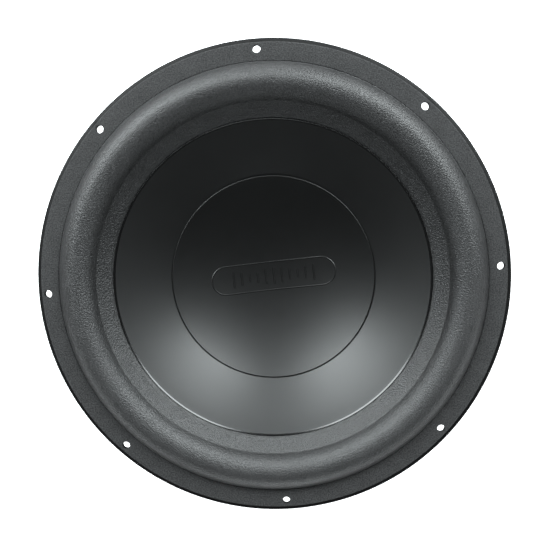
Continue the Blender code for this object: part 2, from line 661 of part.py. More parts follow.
def make_lead(name, pole, turn):
    """A limp braided lead, from its lug over the spider to the voice coil former."""
    start = (LUG_X - LUG_HALF[0] - GAP - LEAD_RADIUS, LUG_Y, LUG_TOP_Z - LEAD_START_DROP)
    end = (FORMER_RADIUS + GAP + LEAD_RADIUS, LEAD_END_Y, LEAD_END_Z)
    route = [Vector((x, pole * y, z)) for x, y, z in (start, *LEAD_ROUTE, end)]
    wire(name, [turn @ point for point in smooth_path(route, LEAD_POINTS)], LEAD_RADIUS, TINSEL)


def make_terminals():
    for letter, side in SIDES.items():
        turn = Matrix.Rotation(0.0 if side > 0 else math.pi, 4, "Z")
        make_block(f"terminal_block_{letter}", turn)
        for pole_name, pole in POLES.items():
            label = f"{letter}_{pole_name}"
            finish = RED_PLASTIC if pole > 0 else BLACK_PLASTIC
            make_button(f"push_button_{label}", pole * BUTTON_Y, turn, finish)
            make_spring(f"button_spring_{label}", pole * BUTTON_Y, turn)
            make_lug(f"solder_lug_{label}", pole * LUG_Y, turn)
            make_rivet(f"block_rivet_{label}", pole * RIVET_Y, turn)
            make_lead(f"tinsel_lead_{label}", pole, turn)


clear_scene()
PARTS = collection("Car subwoofer driver")
CUTTERS = collection("Cutters")
BOOT_RUBBER = material("boot rubber", (0.020, 0.020, 0.021), 0.70)
PLATED_STEEL = material("plated steel", (0.42, 0.42, 0.40), 0.35, 1.0)
SCREEN_STEEL = material("screen steel", (0.10, 0.10, 0.10), 0.45, 1.0)
FERRITE = material("ferrite", (0.045, 0.045, 0.048), 0.60)
BASKET_PAINT = material("basket paint", (0.012, 0.012, 0.013), 0.45)
SCREW_STEEL = material("screw steel", (0.30, 0.30, 0.28), 0.35, 1.0)
GASKET_RUBBER = material("gasket foam", (0.075, 0.080, 0.080), 0.85)
SURROUND_FOAM = material("surround foam", (0.100, 0.104, 0.108), 0.80)
CONE_PLASTIC = material("cone plastic", (0.035, 0.036, 0.038), 0.38)
CAP_PLASTIC = material("cap plastic", (0.033, 0.034, 0.036), 0.38)
FORMER_ALUMINIUM = material("former aluminium", (0.75, 0.75, 0.76), 0.30, 1.0)
COPPER = material("copper wire", (0.62, 0.27, 0.12), 0.30, 1.0)
SPIDER_CLOTH = material("spider cloth", (0.42, 0.30, 0.12), 0.90)
TERMINAL_PLASTIC = material("terminal plastic", (0.018, 0.018, 0.018), 0.50)
RED_PLASTIC = material("red plastic", (0.45, 0.02, 0.02), 0.40)
BLACK_PLASTIC = material("black plastic", (0.015, 0.015, 0.015), 0.40)
SPRING_STEEL = material("spring steel", (0.55, 0.55, 0.55), 0.30, 1.0)
BRASS = material("lug brass", (0.60, 0.45, 0.18), 0.35, 1.0)
RIVET_ALUMINIUM = material("rivet aluminium", (0.70, 0.70, 0.70), 0.35, 1.0)
TINSEL = material("tinsel braid", (0.62, 0.40, 0.25), 0.40, 1.0)

make_boot()
make_yoke()
make_vent_screen()
make_magnets()
make_top_plate()
make_basket()
make_frame_screws()
make_gasket()
make_surround()
make_cone()
make_dust_cap()
make_voice_coil()
make_spider()
make_terminals()
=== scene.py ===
"""Looks of a car subwoofer driver that lies on its magnet with the cone facing up.

Everything is in metres in the frame of the CAD model: +Z out of the cone, origin under the magnet.
"""

import math

import bmesh
import bpy
import numpy as np
from mathutils import Matrix, Vector


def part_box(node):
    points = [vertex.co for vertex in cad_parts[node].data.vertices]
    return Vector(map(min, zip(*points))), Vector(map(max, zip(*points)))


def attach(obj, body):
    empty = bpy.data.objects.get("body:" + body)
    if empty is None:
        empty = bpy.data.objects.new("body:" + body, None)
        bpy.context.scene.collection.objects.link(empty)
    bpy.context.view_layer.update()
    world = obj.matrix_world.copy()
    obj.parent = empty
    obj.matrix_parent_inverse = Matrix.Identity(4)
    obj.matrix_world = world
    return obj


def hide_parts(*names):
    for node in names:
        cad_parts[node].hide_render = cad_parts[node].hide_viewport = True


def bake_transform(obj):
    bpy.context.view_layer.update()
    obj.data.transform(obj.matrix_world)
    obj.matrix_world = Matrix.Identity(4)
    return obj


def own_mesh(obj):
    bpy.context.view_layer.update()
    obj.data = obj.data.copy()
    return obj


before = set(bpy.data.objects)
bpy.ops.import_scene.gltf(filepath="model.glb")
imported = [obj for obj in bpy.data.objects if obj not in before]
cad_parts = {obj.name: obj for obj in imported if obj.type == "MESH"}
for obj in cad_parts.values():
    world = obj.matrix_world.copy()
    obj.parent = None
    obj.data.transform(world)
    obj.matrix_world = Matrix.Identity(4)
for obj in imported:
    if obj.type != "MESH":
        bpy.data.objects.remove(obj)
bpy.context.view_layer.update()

MM = 0.001
GAP = 0.3 * MM

# ---- sizes read from the CAD model ----


def low(node):
    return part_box(node)[0]


def high(node):
    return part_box(node)[1]


RIM_RADIUS = high("basket").x
FLANGE_TOP_Z = high("basket").z
SHEET = 1.8 * MM
FLANGE_BACK_Z = FLANGE_TOP_Z - SHEET
GASKET_RADIUS = high("front_gasket").x
GASKET_BOTTOM_Z = low("front_gasket").z
FACE_Z = high("front_gasket").z
CREST_Z = high("surround").z
FOOT_RADIUS = high("surround").x
CONE_EDGE_RADIUS = high("cone").x
CAP_RADIUS = high("dust_cap").x
CAP_RIM_Z = high("dust_cap").z
CAP_WALL = 1.2 * MM
BOOT_RADIUS = high("magnet_boot").x
BOOT_HEIGHT = high("magnet_boot").z
FORMER_RADIUS = high("coil_former").x
FORMER_TOP_Z = high("coil_former").z
TOP_PLATE_TOP_Z = high("top_plate").z
PLATE_RADIUS = high("top_plate").x
YOKE_BOTTOM_Z = low("back_plate_with_pole").z
POLE_TOP_Z = high("back_plate_with_pole").z
SPIDER_RADIUS = high("spider").x
SPIDER_Z = (low("spider").z + high("spider").z) / 2

# ---- sizes that the boxes don't hold ----
GASKET_INNER_RADIUS = 140.9 * MM
HOLE_CIRCLE_RADIUS = 148.75 * MM
HOLE_RADIUS = 2.6 * MM
HOLE_COUNT = 8
ROLL_CREST_RADIUS = 128.4 * MM
ROLL_INNER = (13.1 * MM, math.radians(58))  # width of the side, and its tilt where it ends
ROLL_OUTER = (12.0 * MM, math.radians(70))
SURROUND_WALL = 1.4 * MM
FOOT_TOP_Z = FACE_Z + 0.3 * MM
FOOT_INNER_RADIUS = 137.0 * MM
VALLEY_RADIUS = ROLL_CREST_RADIUS - ROLL_INNER[0]
VALLEY_Z = CREST_Z + ROLL_INNER[0] / ROLL_INNER[1] * math.log(math.cos(ROLL_INNER[1]))
LANDING_RADIUS = 106.8 * MM
LANDING_TOE_RADIUS = 105.4 * MM  # where the landing's bevelled inner edge meets the cone
LANDING_TILTS = (math.radians(27.5), math.radians(33))  # at its inner edge and at the valley
CONE_WALL = 1.2 * MM
CONE_NECK_RADIUS = FORMER_RADIUS + GAP
CONE_NECK_Z = FORMER_TOP_Z - 1.0 * MM
CONE_SLOPE = 0.666
CONE_FLARE = 1.50
CONE_LIP_RADIUS = 105.0 * MM
CONE_LIP_WIDTH = 1.1 * MM
CONE_LIP_TILTS = (math.radians(27), math.radians(43))  # where it starts and at its crest
CONE_GROOVE = 0.2 * MM  # how far the gap outside the lip lies below the cone's face
CAP_RIM_SLOPE = math.radians(25.6)
CAP_SPHERE = CAP_RADIUS / math.sin(CAP_RIM_SLOPE)
SPIDER_WALL = 0.8 * MM
LEDGE_Z = 86.0 * MM
LEDGE_OUTER_RADIUS = 86.0 * MM
LEDGE_INNER_RADIUS = 74.2 * MM
BASE_OUTER_RADIUS = 72.2 * MM
BASE_INNER_RADIUS = 44.0 * MM
CUT_OUT_RADIUS = 137.2 * MM
SKIRT_FOOT = (135.2 * MM, 125.0 * MM)
WINDOW_COUNT = 6
WINDOW_INNER_RADIUS = 89.0 * MM
WINDOW_OUTER_RADIUS = 130.5 * MM
WINDOW_CORNER = 5.0 * MM
SPOKE_WIDTH = 22.0 * MM
RIB_HALF_WIDTH = 7.0 * MM
RIB_HEIGHT = 1.6 * MM
RIB_START = (0.04, 0.16)  # shares of the way from ledge to skirt over which a rib rises
RIB_END = (0.84, 0.96)
FRAME_SCREW_RADIUS = 2.5 * MM
FRAME_SCREW_CIRCLE_RADIUS = 58.0 * MM
SCREW_HEAD_RADIUS = 4.5 * MM
SCREW_HEAD_HEIGHT = 3.0 * MM
VENT_RADIUS = 14.0 * MM
SPIDER_WAVES = 7
SPIDER_SIDES = 216
SCREW_COUNT = 6
TOP_PLATE_HOLE_RADIUS = 34.2 * MM
LUG_HEIGHTS = (84 * MM, 86 * MM, 89.5 * MM)  # shoulder, start and end of the waist
TAB_FACE_X = 81.8 * MM
TAB_HALF_WIDTH = 27.5 * MM
TAB_BOTTOM_Z = 63.5 * MM
BLOCK_X = (TAB_FACE_X + GAP, TAB_FACE_X + GAP + 16.0 * MM)
BLOCK_Z = (low("terminal_block_a").z, high("terminal_block_a").z)
BLOCK_HALF_WIDTH = 21.5 * MM
EAR_DEPTH = 2.5 * MM
EAR_HALF_WIDTH = 27.2 * MM
EAR_HALF_HEIGHT = 4.5 * MM
RIVET_Y = 24.4 * MM
RIVET_Z = (BLOCK_Z[0] + BLOCK_Z[1]) / 2
RIVET_RADIUS = 1.3 * MM
RIVET_HEAD_RADIUS = 2.6 * MM
BUTTON_Y = 9.5 * MM
BUTTON_Z = 76.2 * MM
BUTTON_HALF = (3.9 * MM, 4.3 * MM)
WIRE_HOLE_Z = 67.2 * MM
WIRE_HOLE_RADIUS = 1.9 * MM
COLLAR_RADIUS = 2.9 * MM
FRAME_PROUD = 0.9 * MM  # how far the button frames stand out of the block's face
LUG_SLOT = (0.7 * MM, 2.3 * MM)  # half its depth and half its width
LUG_SLOT_BOTTOM_Z = 70.2 * MM
BOOT_GROOVES = (46 * MM, 40 * MM, 20 * MM, 14 * MM)
POLE_NAMES = {1: "positive", -1: "negative"}
LEAD_ROUTE = [(0.0867, 0.0184, 0.0920), (0.0790, 0.0172, 0.0975), (0.0660, 0.0148, 0.0995),
              (0.0520, 0.0118, 0.0972), (0.0410, 0.0092, 0.0947), (0.0328, 0.0072, 0.0940)]
LARGE = 288  # sides of the big turned pieces
MEDIUM = 144
SMALL = 48


# ---- mesh helpers ----
def rounded(corners, loop=True, turn=12.0):
    """Corner points (radius, z, fillet) joined by straight runs, each corner rounded by an arc."""
    made = []
    count = len(corners)
    for index, (radius, z, fillet) in enumerate(corners):
        here = Vector((radius, z))
        if fillet <= 0 or (not loop and index in (0, count - 1)):
            made.append((radius, z))
            continue
        before = Vector(corners[index - 1][:2]) - here
        after = Vector(corners[(index + 1) % count][:2]) - here
        half = before.angle(after) / 2
        reach = fillet / math.tan(half)
        start = here + before.normalized() * reach
        middle = here + (before.normalized() + after.normalized()).normalized() * (
            fillet / math.sin(half))
        swing = math.pi - 2 * half
        steps = max(2, math.ceil(math.degrees(swing) / turn))
        if before.cross(after) > 0:
            swing = -swing
        arm = start - middle
        for step in range(steps + 1):
            a = swing * step / steps
            made.append((middle.x + arm.x * math.cos(a) - arm.y * math.sin(a),
                         middle.y + arm.x * math.sin(a) + arm.y * math.cos(a)))
    return made


def offset(line, distance):
    """The open line moved to its left by the distance."""
    points = [Vector(point) for point in line]
    moved = []
    for index, point in enumerate(points):
        steps = []
        if index:
            steps.append((point - points[index - 1]).normalized())
        if index < len(points) - 1:
            steps.append((points[index + 1] - point).normalized())
        along = sum(steps, Vector((0, 0))).normalized()
        share = along.dot(steps[0])
        moved.append(point + Vector((-along.y, along.x)) * distance / share)
    return [tuple(point) for point in moved]


def sheet(line, thickness):
    """A closed profile of even thickness around the open line."""
    half = thickness / 2
    return offset(line, half) + offset(line, -half)[::-1]


def new_object(name, data):
    made = bpy.data.objects.new(name, data)
    bpy.context.scene.collection.objects.link(made)
    return made


def smooth(mesh, angle=35.0):
    mesh.shade_smooth()
    mesh.set_sharp_from_angle(angle=math.radians(angle))


def from_bmesh(name, bm, angle=35.0):
    bmesh.ops.recalc_face_normals(bm, faces=bm.faces)
    mesh = bpy.data.meshes.new(name)
    bm.to_mesh(mesh)
    bm.free()
    smooth(mesh, angle)
    return new_object(name, mesh)


def lathe(name, profile, segments=LARGE, loop=True, angle=35.0):
    """Spins a profile of (radius, z) round Z. Points on the axis become one vertex."""
    bm = bmesh.new()
    rings = []
    for radius, z in profile:
        if radius < 1e-7:
            rings.append([bm.verts.new((0, 0, z))] * segments)
            continue
        spots = [math.tau * step / segments for step in range(segments)]
        rings.append([bm.verts.new((radius * math.cos(a), radius * math.sin(a), z))
                      for a in spots])
    pairs = list(zip(rings, rings[1:]))
    if loop:
        pairs.append((rings[-1], rings[0]))
    for first, second in pairs:
        for step in range(segments):
            after = (step + 1) % segments
            corners = [first[step], second[step], second[after], first[after]]
            unique = list(dict.fromkeys(corners))
            if len(unique) > 2:
                bm.faces.new(unique)
    return from_bmesh(name, bm, angle)


def add_cylinder(bm, spot, radius, depth, sides, axis="Z"):
    turn = Matrix.Rotation(math.radians(90), 4, "Y") if axis == "X" else Matrix.Identity(4)
    bmesh.ops.create_cone(bm, cap_ends=True, segments=sides, radius1=radius,
                          radius2=radius, depth=depth,
                          matrix=Matrix.Translation(spot) @ turn)


def applied(obj):
    """Turns the object's modifiers into mesh."""
    depsgraph = bpy.context.evaluated_depsgraph_get()
    mesh = bpy.data.meshes.new_from_object(obj.evaluated_get(depsgraph), depsgraph=depsgraph)
    obj.modifiers.clear()
    old = obj.data
    obj.data = mesh
    mesh.name = obj.name
    bpy.data.meshes.remove(old)
    return obj


def cut(obj, *cutters, operation="DIFFERENCE"):
    for cutter in cutters:
        modifier = obj.modifiers.new("Cut", "BOOLEAN")
        modifier.operation = operation
        modifier.solver = "EXACT"
        modifier.object = cutter
    applied(obj)
    for cutter in cutters:
        bpy.data.objects.remove(cutter, do_unlink=True)
    return obj


def bevel(obj, width, segments=3, angle=35.0):
    modifier = obj.modifiers.new("Bevel", "BEVEL")
    modifier.width = width
    modifier.segments = segments
    modifier.limit_method = "ANGLE"
    modifier.angle_limit = math.radians(angle)
    return applied(obj)


def joined(name, objects):
    """One object from several, whose meshes are copied in world space."""
    bm = bmesh.new()
    for obj in objects:
        mesh = obj.data.copy()
        mesh.transform(obj.matrix_world)
        bm.from_mesh(mesh)
        bpy.data.meshes.remove(mesh)
        bpy.data.objects.remove(obj, do_unlink=True)
    mesh = bpy.data.meshes.new(name)
    bm.to_mesh(mesh)
    bm.free()
    smooth(mesh)
    return new_object(name, mesh)


def tube(name, points, radius, sides=10, closed=False):
    """A round tube along the points, as a mesh."""
    curve = bpy.data.curves.new(name, "CURVE")
    curve.dimensions = "3D"
    curve.bevel_depth = radius
    curve.bevel_resolution = max(0, (sides - 4) // 2)
    curve.use_fill_caps = not closed
    spline = curve.splines.new("POLY")
    spline.points.add(len(points) - 1)
    for slot, spot in zip(spline.points, points):
        slot.co = (*spot, 1.0)
    spline.use_cyclic_u = closed
    holder = new_object(name + "_path", curve)
    depsgraph = bpy.context.evaluated_depsgraph_get()
    mesh = bpy.data.meshes.new_from_object(holder.evaluated_get(depsgraph), depsgraph=depsgraph)
    bpy.data.objects.remove(holder, do_unlink=True)
    bm = bmesh.new()
    bm.from_mesh(mesh)
    bmesh.ops.remove_doubles(bm, verts=bm.verts, dist=1e-7)
    bm.to_mesh(mesh)
    bm.free()
    mesh.name = name
    smooth(mesh, 50)
    return new_object(name, mesh)


def polar(radius, angle, z=0.0):
    return Vector((radius * math.cos(angle), radius * math.sin(angle), z))


def round_the_clock(count):
    return [math.tau * step / count for step in range(count)]


def step_between(value, start, end):
    t = min(max((value - start) / (end - start), 0.0), 1.0)
    return t * t * (3 - 2 * t)


def place(obj, body, finish, *nodes):
    """Gives the piece its body, finish and the CAD nodes that it stands for."""
    obj.data.materials.clear()
    obj.data.materials.append(MATERIALS[finish])
    if body:
        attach(obj, body)
    if nodes:
        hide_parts(*nodes)


def blend_radially(obj):
    """Bakes the piece's transform into its mesh and reads its vertex places; nothing is blended
    between the cone and the basket.
    """
    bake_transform(obj)
    count = len(obj.data.vertices)
    places = np.empty(count * 3)
    obj.data.vertices.foreach_get("co", places)
    places = places.reshape(-1, 3)


# ---- materials ----
class Nodes:
    """A shader node tree with helpers for the nodes that it needs."""

    def __init__(self, tree):
        self.tree = tree

    def node(self, kind, **values):
        made = self.tree.nodes.new(kind)
        for key, value in values.items():
            setattr(made, key, value)
        return made

    def link(self, source, target):
        self.tree.links.new(source, target)

    def math(self, operation, first, second=0.0):
        made = self.node("ShaderNodeMath", operation=operation)
        for socket, value in zip(made.inputs, (first, second)):
            if isinstance(value, (int, float)):
                socket.default_value = value
            else:
                self.link(value, socket)
        return made.outputs[0]

    def ramp(self, value, stops):
        made = self.node("ShaderNodeValToRGB")
        self.link(value, made.inputs["Fac"])
        elements = made.color_ramp.elements
        while len(elements) < len(stops):
            elements.new(0.5)
        for element, (spot, colour) in zip(elements, stops):
            element.position = spot
            element.color = (*colour, 1.0)
        return made.outputs["Color"]

    def spread(self, value, least, most=1.0, start=0.0, end=1.0):
        """The value's way from start to end, spread from least to most."""
        made = self.node("ShaderNodeMapRange")
        self.link(value, made.inputs["Value"])
        for socket, level in (("From Min", start), ("From Max", end), ("To Min", least),
                              ("To Max", most)):
            made.inputs[socket].default_value = level
        return made.outputs["Result"]


class Surface(Nodes):
    """A Principled material with helpers for procedural detail in the piece's own coordinates."""

    def __init__(self, name, roughness, metallic=0.0, specular=0.5):
        self.material = bpy.data.materials.new(name)
        self.material.use_nodes = True
        super().__init__(self.material.node_tree)
        self.shader = self.tree.nodes["Principled BSDF"]
        self.shader.inputs["Roughness"].default_value = roughness
        self.shader.inputs["Metallic"].default_value = metallic
        self.shader.inputs["Specular IOR Level"].default_value = specular
        self.shader.inputs["Specular Tint"].default_value = (0.95, 1.0, 1.0, 1.0)
        self.coordinates = self.node("ShaderNodeTexCoord").outputs["Object"]
        self.last_bump = None

    def noise(self, size, detail=3.0):
        """Noise whose features are about size metres across."""
        made = self.node("ShaderNodeTexNoise")
        self.link(self.coordinates, made.inputs["Vector"])
        made.inputs["Scale"].default_value = 1.0 / size
        made.inputs["Detail"].default_value = detail
        made.inputs["Roughness"].default_value = 0.6
        return made.outputs["Fac"]

    def cells(self, size):
        made = self.node("ShaderNodeTexVoronoi")
        self.link(self.coordinates, made.inputs["Vector"])
        made.inputs["Scale"].default_value = 1.0 / size
        return made.outputs["Distance"]

    def colour(self, value, dark, light, start=0.3, end=0.7):
        self.link(self.ramp(value, [(start, dark), (end, light)]), self.shader.inputs["Base Color"])

    def gloss(self, value, least, most):
        self.link(self.spread(value, least, most), self.shader.inputs["Roughness"])

    def bump(self, height, depth, strength):
        """Adds relief of the given depth in metres on top of any earlier relief."""
        made = self.node("ShaderNodeBump")
        made.inputs["Strength"].default_value = strength
        made.inputs["Distance"].default_value = depth
        self.link(height, made.inputs["Height"])
        if self.last_bump:
            self.link(self.last_bump, made.inputs["Normal"])
        self.last_bump = made.outputs["Normal"]
        self.link(self.last_bump, self.shader.inputs["Normal"])

    def axis(self, index):
        split = self.node("ShaderNodeSeparateXYZ")
        self.link(self.coordinates, split.inputs["Vector"])
        return split.outputs[index]

    def radius(self):
        """Distance from the Z axis."""
        x, y = self.axis(0), self.axis(1)
        sum_of_squares = self.math("ADD", self.math("MULTIPLY", x, x), self.math("MULTIPLY", y, y))
        return self.math("SQRT", sum_of_squares)

    def ridges(self, value, pitch):
        """A smooth wave along the value, one crest every pitch."""
        return self.math("SINE", self.math("MULTIPLY", value, math.tau / pitch))


def grey(level, cool=0.04):
    return (level * (1 - cool), level, level * (1 + cool / 2))


def foam_material(name, level, gloss, specular, relief, painted_shade_radius=None):
    """Fine-grained foam rubber skin, with painted shade inside the painted shade radius: the colour is
    darkened on the landing and in the valley crease, as though in the roll's shade.
    """
    surface = Surface(name, gloss, specular=specular)
    fine = surface.noise(0.9 * MM, 2.0)
    broad = surface.noise(9 * MM, 2.0)
    mixed = surface.math("ADD", surface.math("MULTIPLY", fine, 0.85),
                         surface.math("MULTIPLY", broad, 0.15))
    if painted_shade_radius:
        # painted shade: inside this radius the foam's colour is darkened, on the landing and in the
        # valley crease under the roll
        rise = surface.spread(surface.radius(), 0.74, 1.0, painted_shade_radius, painted_shade_radius + 3 * MM)
        mixed = surface.math("MULTIPLY", mixed, rise)
        surface.colour(mixed, grey(level * 0.20), grey(level * 1.60), 0.22, 0.66)
    else:
        surface.colour(mixed, grey(level * 0.45), grey(level * 1.60), 0.34, 0.66)
    surface.gloss(fine, gloss - 0.05, gloss + 0.07)
    surface.bump(fine, relief * 0.30 * MM, 0.55)
    surface.bump(surface.cells(0.8 * MM), relief * 0.12 * MM, 0.50)
    return surface.material


def satin_plastic(name, level, gloss, cool=0.04, grain=0.4 * MM, specular=0.5, polish=None):
    """Moulded plastic with a faint eggshell skin, shiny beyond the polish radius."""
    surface = Surface(name, gloss, specular=specular)
    mottle = surface.noise(14 * MM, 4.0)
    surface.colour(mottle, grey(level * 0.90, cool), grey(level * 1.10, cool), 0.35, 0.65)
    skin = surface.noise(6 * MM, 3.0)
    smoothest = gloss - 0.02
    if polish:
        inside = surface.math("LESS_THAN", surface.radius(), polish)
        even = surface.math("ADD", surface.math("MULTIPLY", skin, 0.1), 0.9)
        skin = surface.math("MULTIPLY", even, inside)
        smoothest = 0.20
    surface.gloss(skin, smoothest, gloss + 0.03)
    surface.bump(surface.noise(grain, 2.0), 0.03 * MM, 0.45)
    return surface.material


def noisy_surface(name, roughness, metallic, specular, colour, gloss, *bumps):
    """A surface whose colour, gloss and relief each come from one noise of a (size, detail)."""
    surface = Surface(name, roughness, metallic, specular)
    size, detail, dark, light, start, end = colour
    surface.colour(surface.noise(size, detail), dark, light, start, end)
    if gloss:
        size, detail, least, most = gloss
        surface.gloss(surface.noise(size, detail), least, most)
    for size, detail, depth, strength in bumps:
        surface.bump(surface.noise(size, detail), depth, strength)
    return surface.material


def paint_material(name, level):
    """Powder coat with its orange peel."""
    return noisy_surface(name, 0.42, 0.0, 0.22,
                         (8 * MM, 4.0, grey(level * 0.85), grey(level * 1.2), 0.35, 0.65),
                         (2 * MM, 3.0, 0.36, 0.50), (0.9 * MM, 2.0, 0.06 * MM, 0.45))


def boot_material():
    return noisy_surface("boot rubber", 0.62, 0.0, 0.45,
                         (12 * MM, 5.0, grey(0.016), grey(0.030), 0.35, 0.70),
                         (4 * MM, 4.0, 0.52, 0.72), (0.7 * MM, 3.0, 0.05 * MM, 0.5))


def turned_metal(name, light, dark, roughness):
    """Metal with concentric tool marks and a little staining."""
    surface = Surface(name, roughness, 1.0)
    surface.colour(surface.noise(5 * MM, 5.0), dark, light, 0.30, 0.70)
    surface.gloss(surface.noise(1.5 * MM, 4.0), roughness - 0.08, roughness + 0.12)
    surface.bump(surface.ridges(surface.radius(), 0.35 * MM), 0.02 * MM, 0.5)
    surface.bump(surface.noise(0.5 * MM, 2.0), 0.02 * MM, 0.3)
    return surface.material


def plain_metal(name, light, dark, roughness):
    """Small plated or bare metal parts, with fine scratches and tarnish."""
    return noisy_surface(name, roughness, 1.0, 0.5, (1.6 * MM, 5.0, dark, light, 0.30, 0.65),
                         (0.5 * MM, 3.0, roughness - 0.07, roughness + 0.12),
                         (0.25 * MM, 3.0, 0.015 * MM, 0.5))


def ferrite_material():
    return noisy_surface("ferrite", 0.55, 0.0, 0.5,
                         (3 * MM, 6.0, grey(0.035), grey(0.075), 0.30, 0.75), None,
                         (0.4 * MM, 4.0, 0.06 * MM, 0.6))


def former_material():
    """Rolled aluminium foil, with faint streaks round the tube."""
    surface = Surface("former aluminium", 0.30, 1.0)
    surface.colour(surface.noise(2 * MM, 4.0), (0.60, 0.60, 0.61), (0.82, 0.82, 0.83))
    surface.bump(surface.ridges(surface.axis(2), 0.5 * MM), 0.01 * MM, 0.4)
    return surface.material


def winding_material():
    """Enamelled copper wire, wound close."""
    surface = Surface("copper winding", 0.28, 1.0)
    surface.colour(surface.noise(1.2 * MM, 3.0), (0.45, 0.15, 0.05), (0.78, 0.34, 0.15))
    surface.bump(surface.ridges(surface.axis(2), 0.40 * MM), 0.10 * MM, 1.0)
    return surface.material


def cloth_material():
    """Resin-dipped cotton with a plain weave."""
    surface = Surface("spider cloth", 0.80, specular=0.35)
    warp = surface.ridges(surface.axis(0), 0.9 * MM)
    weft = surface.ridges(surface.axis(1), 0.9 * MM)
    weave = surface.math("MULTIPLY", warp, weft)
    blotch = surface.noise(7 * MM, 4.0)
    mixed = surface.math("ADD", surface.math("MULTIPLY", weave, 0.12), blotch)
    surface.colour(mixed, (0.26, 0.16, 0.045), (0.52, 0.36, 0.13), 0.30, 0.75)
    surface.bump(weave, 0.12 * MM, 0.8)
    surface.bump(surface.noise(0.3 * MM, 2.0), 0.04 * MM, 0.6)
    return surface.material


def button_plastic(name, dark, light):
    return noisy_surface(name, 0.35, 0.0, 0.5, (4 * MM, 3.0, dark, light, 0.35, 0.65),
                         (1.5 * MM, 3.0, 0.28, 0.42), (0.3 * MM, 2.0, 0.02 * MM, 0.4))


CONE_GLOSS = 0.385
MATERIALS = {
    # the surround foam carries painted shade on its landing and in its valley crease
    "surround_foam": foam_material("surround foam", 0.0290, 0.335, 0.474, 2.3,
                                   painted_shade_radius=VALLEY_RADIUS + 1.5 * MM),
    "gasket_foam": foam_material("gasket foam", 0.0345, 0.68, 0.16, 1.0),
    "cone_plastic": satin_plastic("cone plastic", 0.0035, CONE_GLOSS, specular=0.57,
                                  polish=CONE_LIP_RADIUS - CONE_LIP_WIDTH),
    "cap_plastic": satin_plastic("cap plastic", 0.0021, CONE_GLOSS, specular=0.50),
    "basket_paint": paint_material("basket paint", 0.005),
    "boot_rubber": boot_material(),
    "plated_steel": turned_metal("plated steel", (0.62, 0.62, 0.60), (0.44, 0.44, 0.42), 0.34),
    "screen_steel": plain_metal("screen steel", (0.22, 0.22, 0.22), (0.10, 0.10, 0.10), 0.40),
    "ferrite": ferrite_material(),
    "screw_steel": plain_metal("screw steel", (0.20, 0.19, 0.17), (0.09, 0.08, 0.07), 0.38),
    "former_aluminium": former_material(),
    "copper_wire": winding_material(),
    "spider_cloth": cloth_material(),
    "terminal_plastic": satin_plastic("terminal plastic", 0.016, 0.45, 0.0, 0.3 * MM),
    "red_plastic": button_plastic("red plastic", (0.42, 0.008, 0.008), (0.58, 0.02, 0.015)),
    "black_plastic": button_plastic("black plastic", grey(0.010), grey(0.018)),
    "spring_steel": plain_metal("spring steel", (0.66, 0.66, 0.66), (0.48, 0.48, 0.48), 0.28),
    "lug_brass": plain_metal("lug brass", (0.72, 0.56, 0.24), (0.50, 0.36, 0.13), 0.32),
    "rivet_aluminium": plain_metal("rivet aluminium", (0.76,) * 3, (0.60,) * 3, 0.34),
    "tinsel_braid": plain_metal("tinsel braid", (0.74, 0.42, 0.24), (0.42, 0.20, 0.10), 0.36),
}


# ---- front: gasket, surround, cone and dust cap ----
def hole_cutter(bottom, top):
    bm = bmesh.new()
    for angle in round_the_clock(HOLE_COUNT):
        add_cylinder(bm, polar(HOLE_CIRCLE_RADIUS, angle, (bottom + top) / 2), HOLE_RADIUS,
                     top - bottom, 40)
    return from_bmesh("hole_cutter", bm)


def make_gasket():
    edge = 0.5 * MM
    profile = rounded([(GASKET_INNER_RADIUS, FACE_Z, edge), (GASKET_RADIUS, FACE_Z, 0.8 * MM),
                       (GASKET_RADIUS, GASKET_BOTTOM_Z, 0), (GASKET_INNER_RADIUS, GASKET_BOTTOM_Z, 0)])
    gasket = lathe("gasket_ring", profile)
    cut(gasket, hole_cutter(GASKET_BOTTOM_Z - MM, FACE_Z + MM))
    smooth(gasket.data, 35)
    place(gasket, "frame", "gasket_foam", "front_gasket")


def roll_side(width, tilt, steps, depth):
    """One side of the roll from its crest out, whose tilt grows evenly, at a depth in the foam."""
    points = []
    for step in range(steps + 1):
        t = tilt * step / steps
        points.append((width * step / steps - depth * math.sin(t),
                       width / tilt * math.log(math.cos(t)) - depth * math.cos(t)))
    return points


def roll_line(steps, depth=0.0):
    """The roll from its valley over the crest to its foot."""
    inner = roll_side(*ROLL_INNER, steps, depth)
    outer = roll_side(*ROLL_OUTER, steps, depth)
    return ([(ROLL_CREST_RADIUS - x, CREST_Z + z) for x, z in reversed(inner)]
            + [(ROLL_CREST_RADIUS + x, CREST_Z + z) for x, z in outer[1:]])


def landing_line(drop=0.0):
    """The landing from its inner edge up to the valley, steepening on the way, lowered by the drop."""
    steps = 24
    least, most = LANDING_TILTS
    points = [(VALLEY_RADIUS, VALLEY_Z - drop)]
    width = (VALLEY_RADIUS - LANDING_RADIUS) / steps
    for step in range(steps):
        tilt = most + (least - most) * (step + 0.5) / steps
        radius, z = points[-1]
        points.append((radius - width, z - width * math.tan(tilt)))
    return points[::-1]


def make_surround():
    """Landing on the cone, rolled edge, and a foot inside the gasket."""
    landing = landing_line()
    toe_z = landing[0][1] - SURROUND_WALL
    inner_edge = rounded([(LANDING_TOE_RADIUS, toe_z, 0),
                          (LANDING_TOE_RADIUS, toe_z + 0.3 * MM, 0.2 * MM),
                          (*landing[0], 0.7 * MM), (*landing[2], 0)], loop=False)[:-1]
    outside = roll_line(36)
    foot = rounded([(*outside[-2], 0), (*outside[-1], 0.4 * MM),
                    (FOOT_RADIUS, FOOT_TOP_Z, 0.2 * MM), (FOOT_RADIUS, GASKET_BOTTOM_Z, 0),
                    (FOOT_INNER_RADIUS, GASKET_BOTTOM_Z, 0)], loop=False)[1:]
    below = roll_line(20, SURROUND_WALL)[::-1]
    end = [(VALLEY_RADIUS, VALLEY_Z - SURROUND_WALL)]
    surround = lathe("surround_roll",
                     inner_edge + landing[2:] + outside[1:-1] + foot + below + end)
    place(surround, None, "surround_foam", "surround")
    blend_radially(surround)


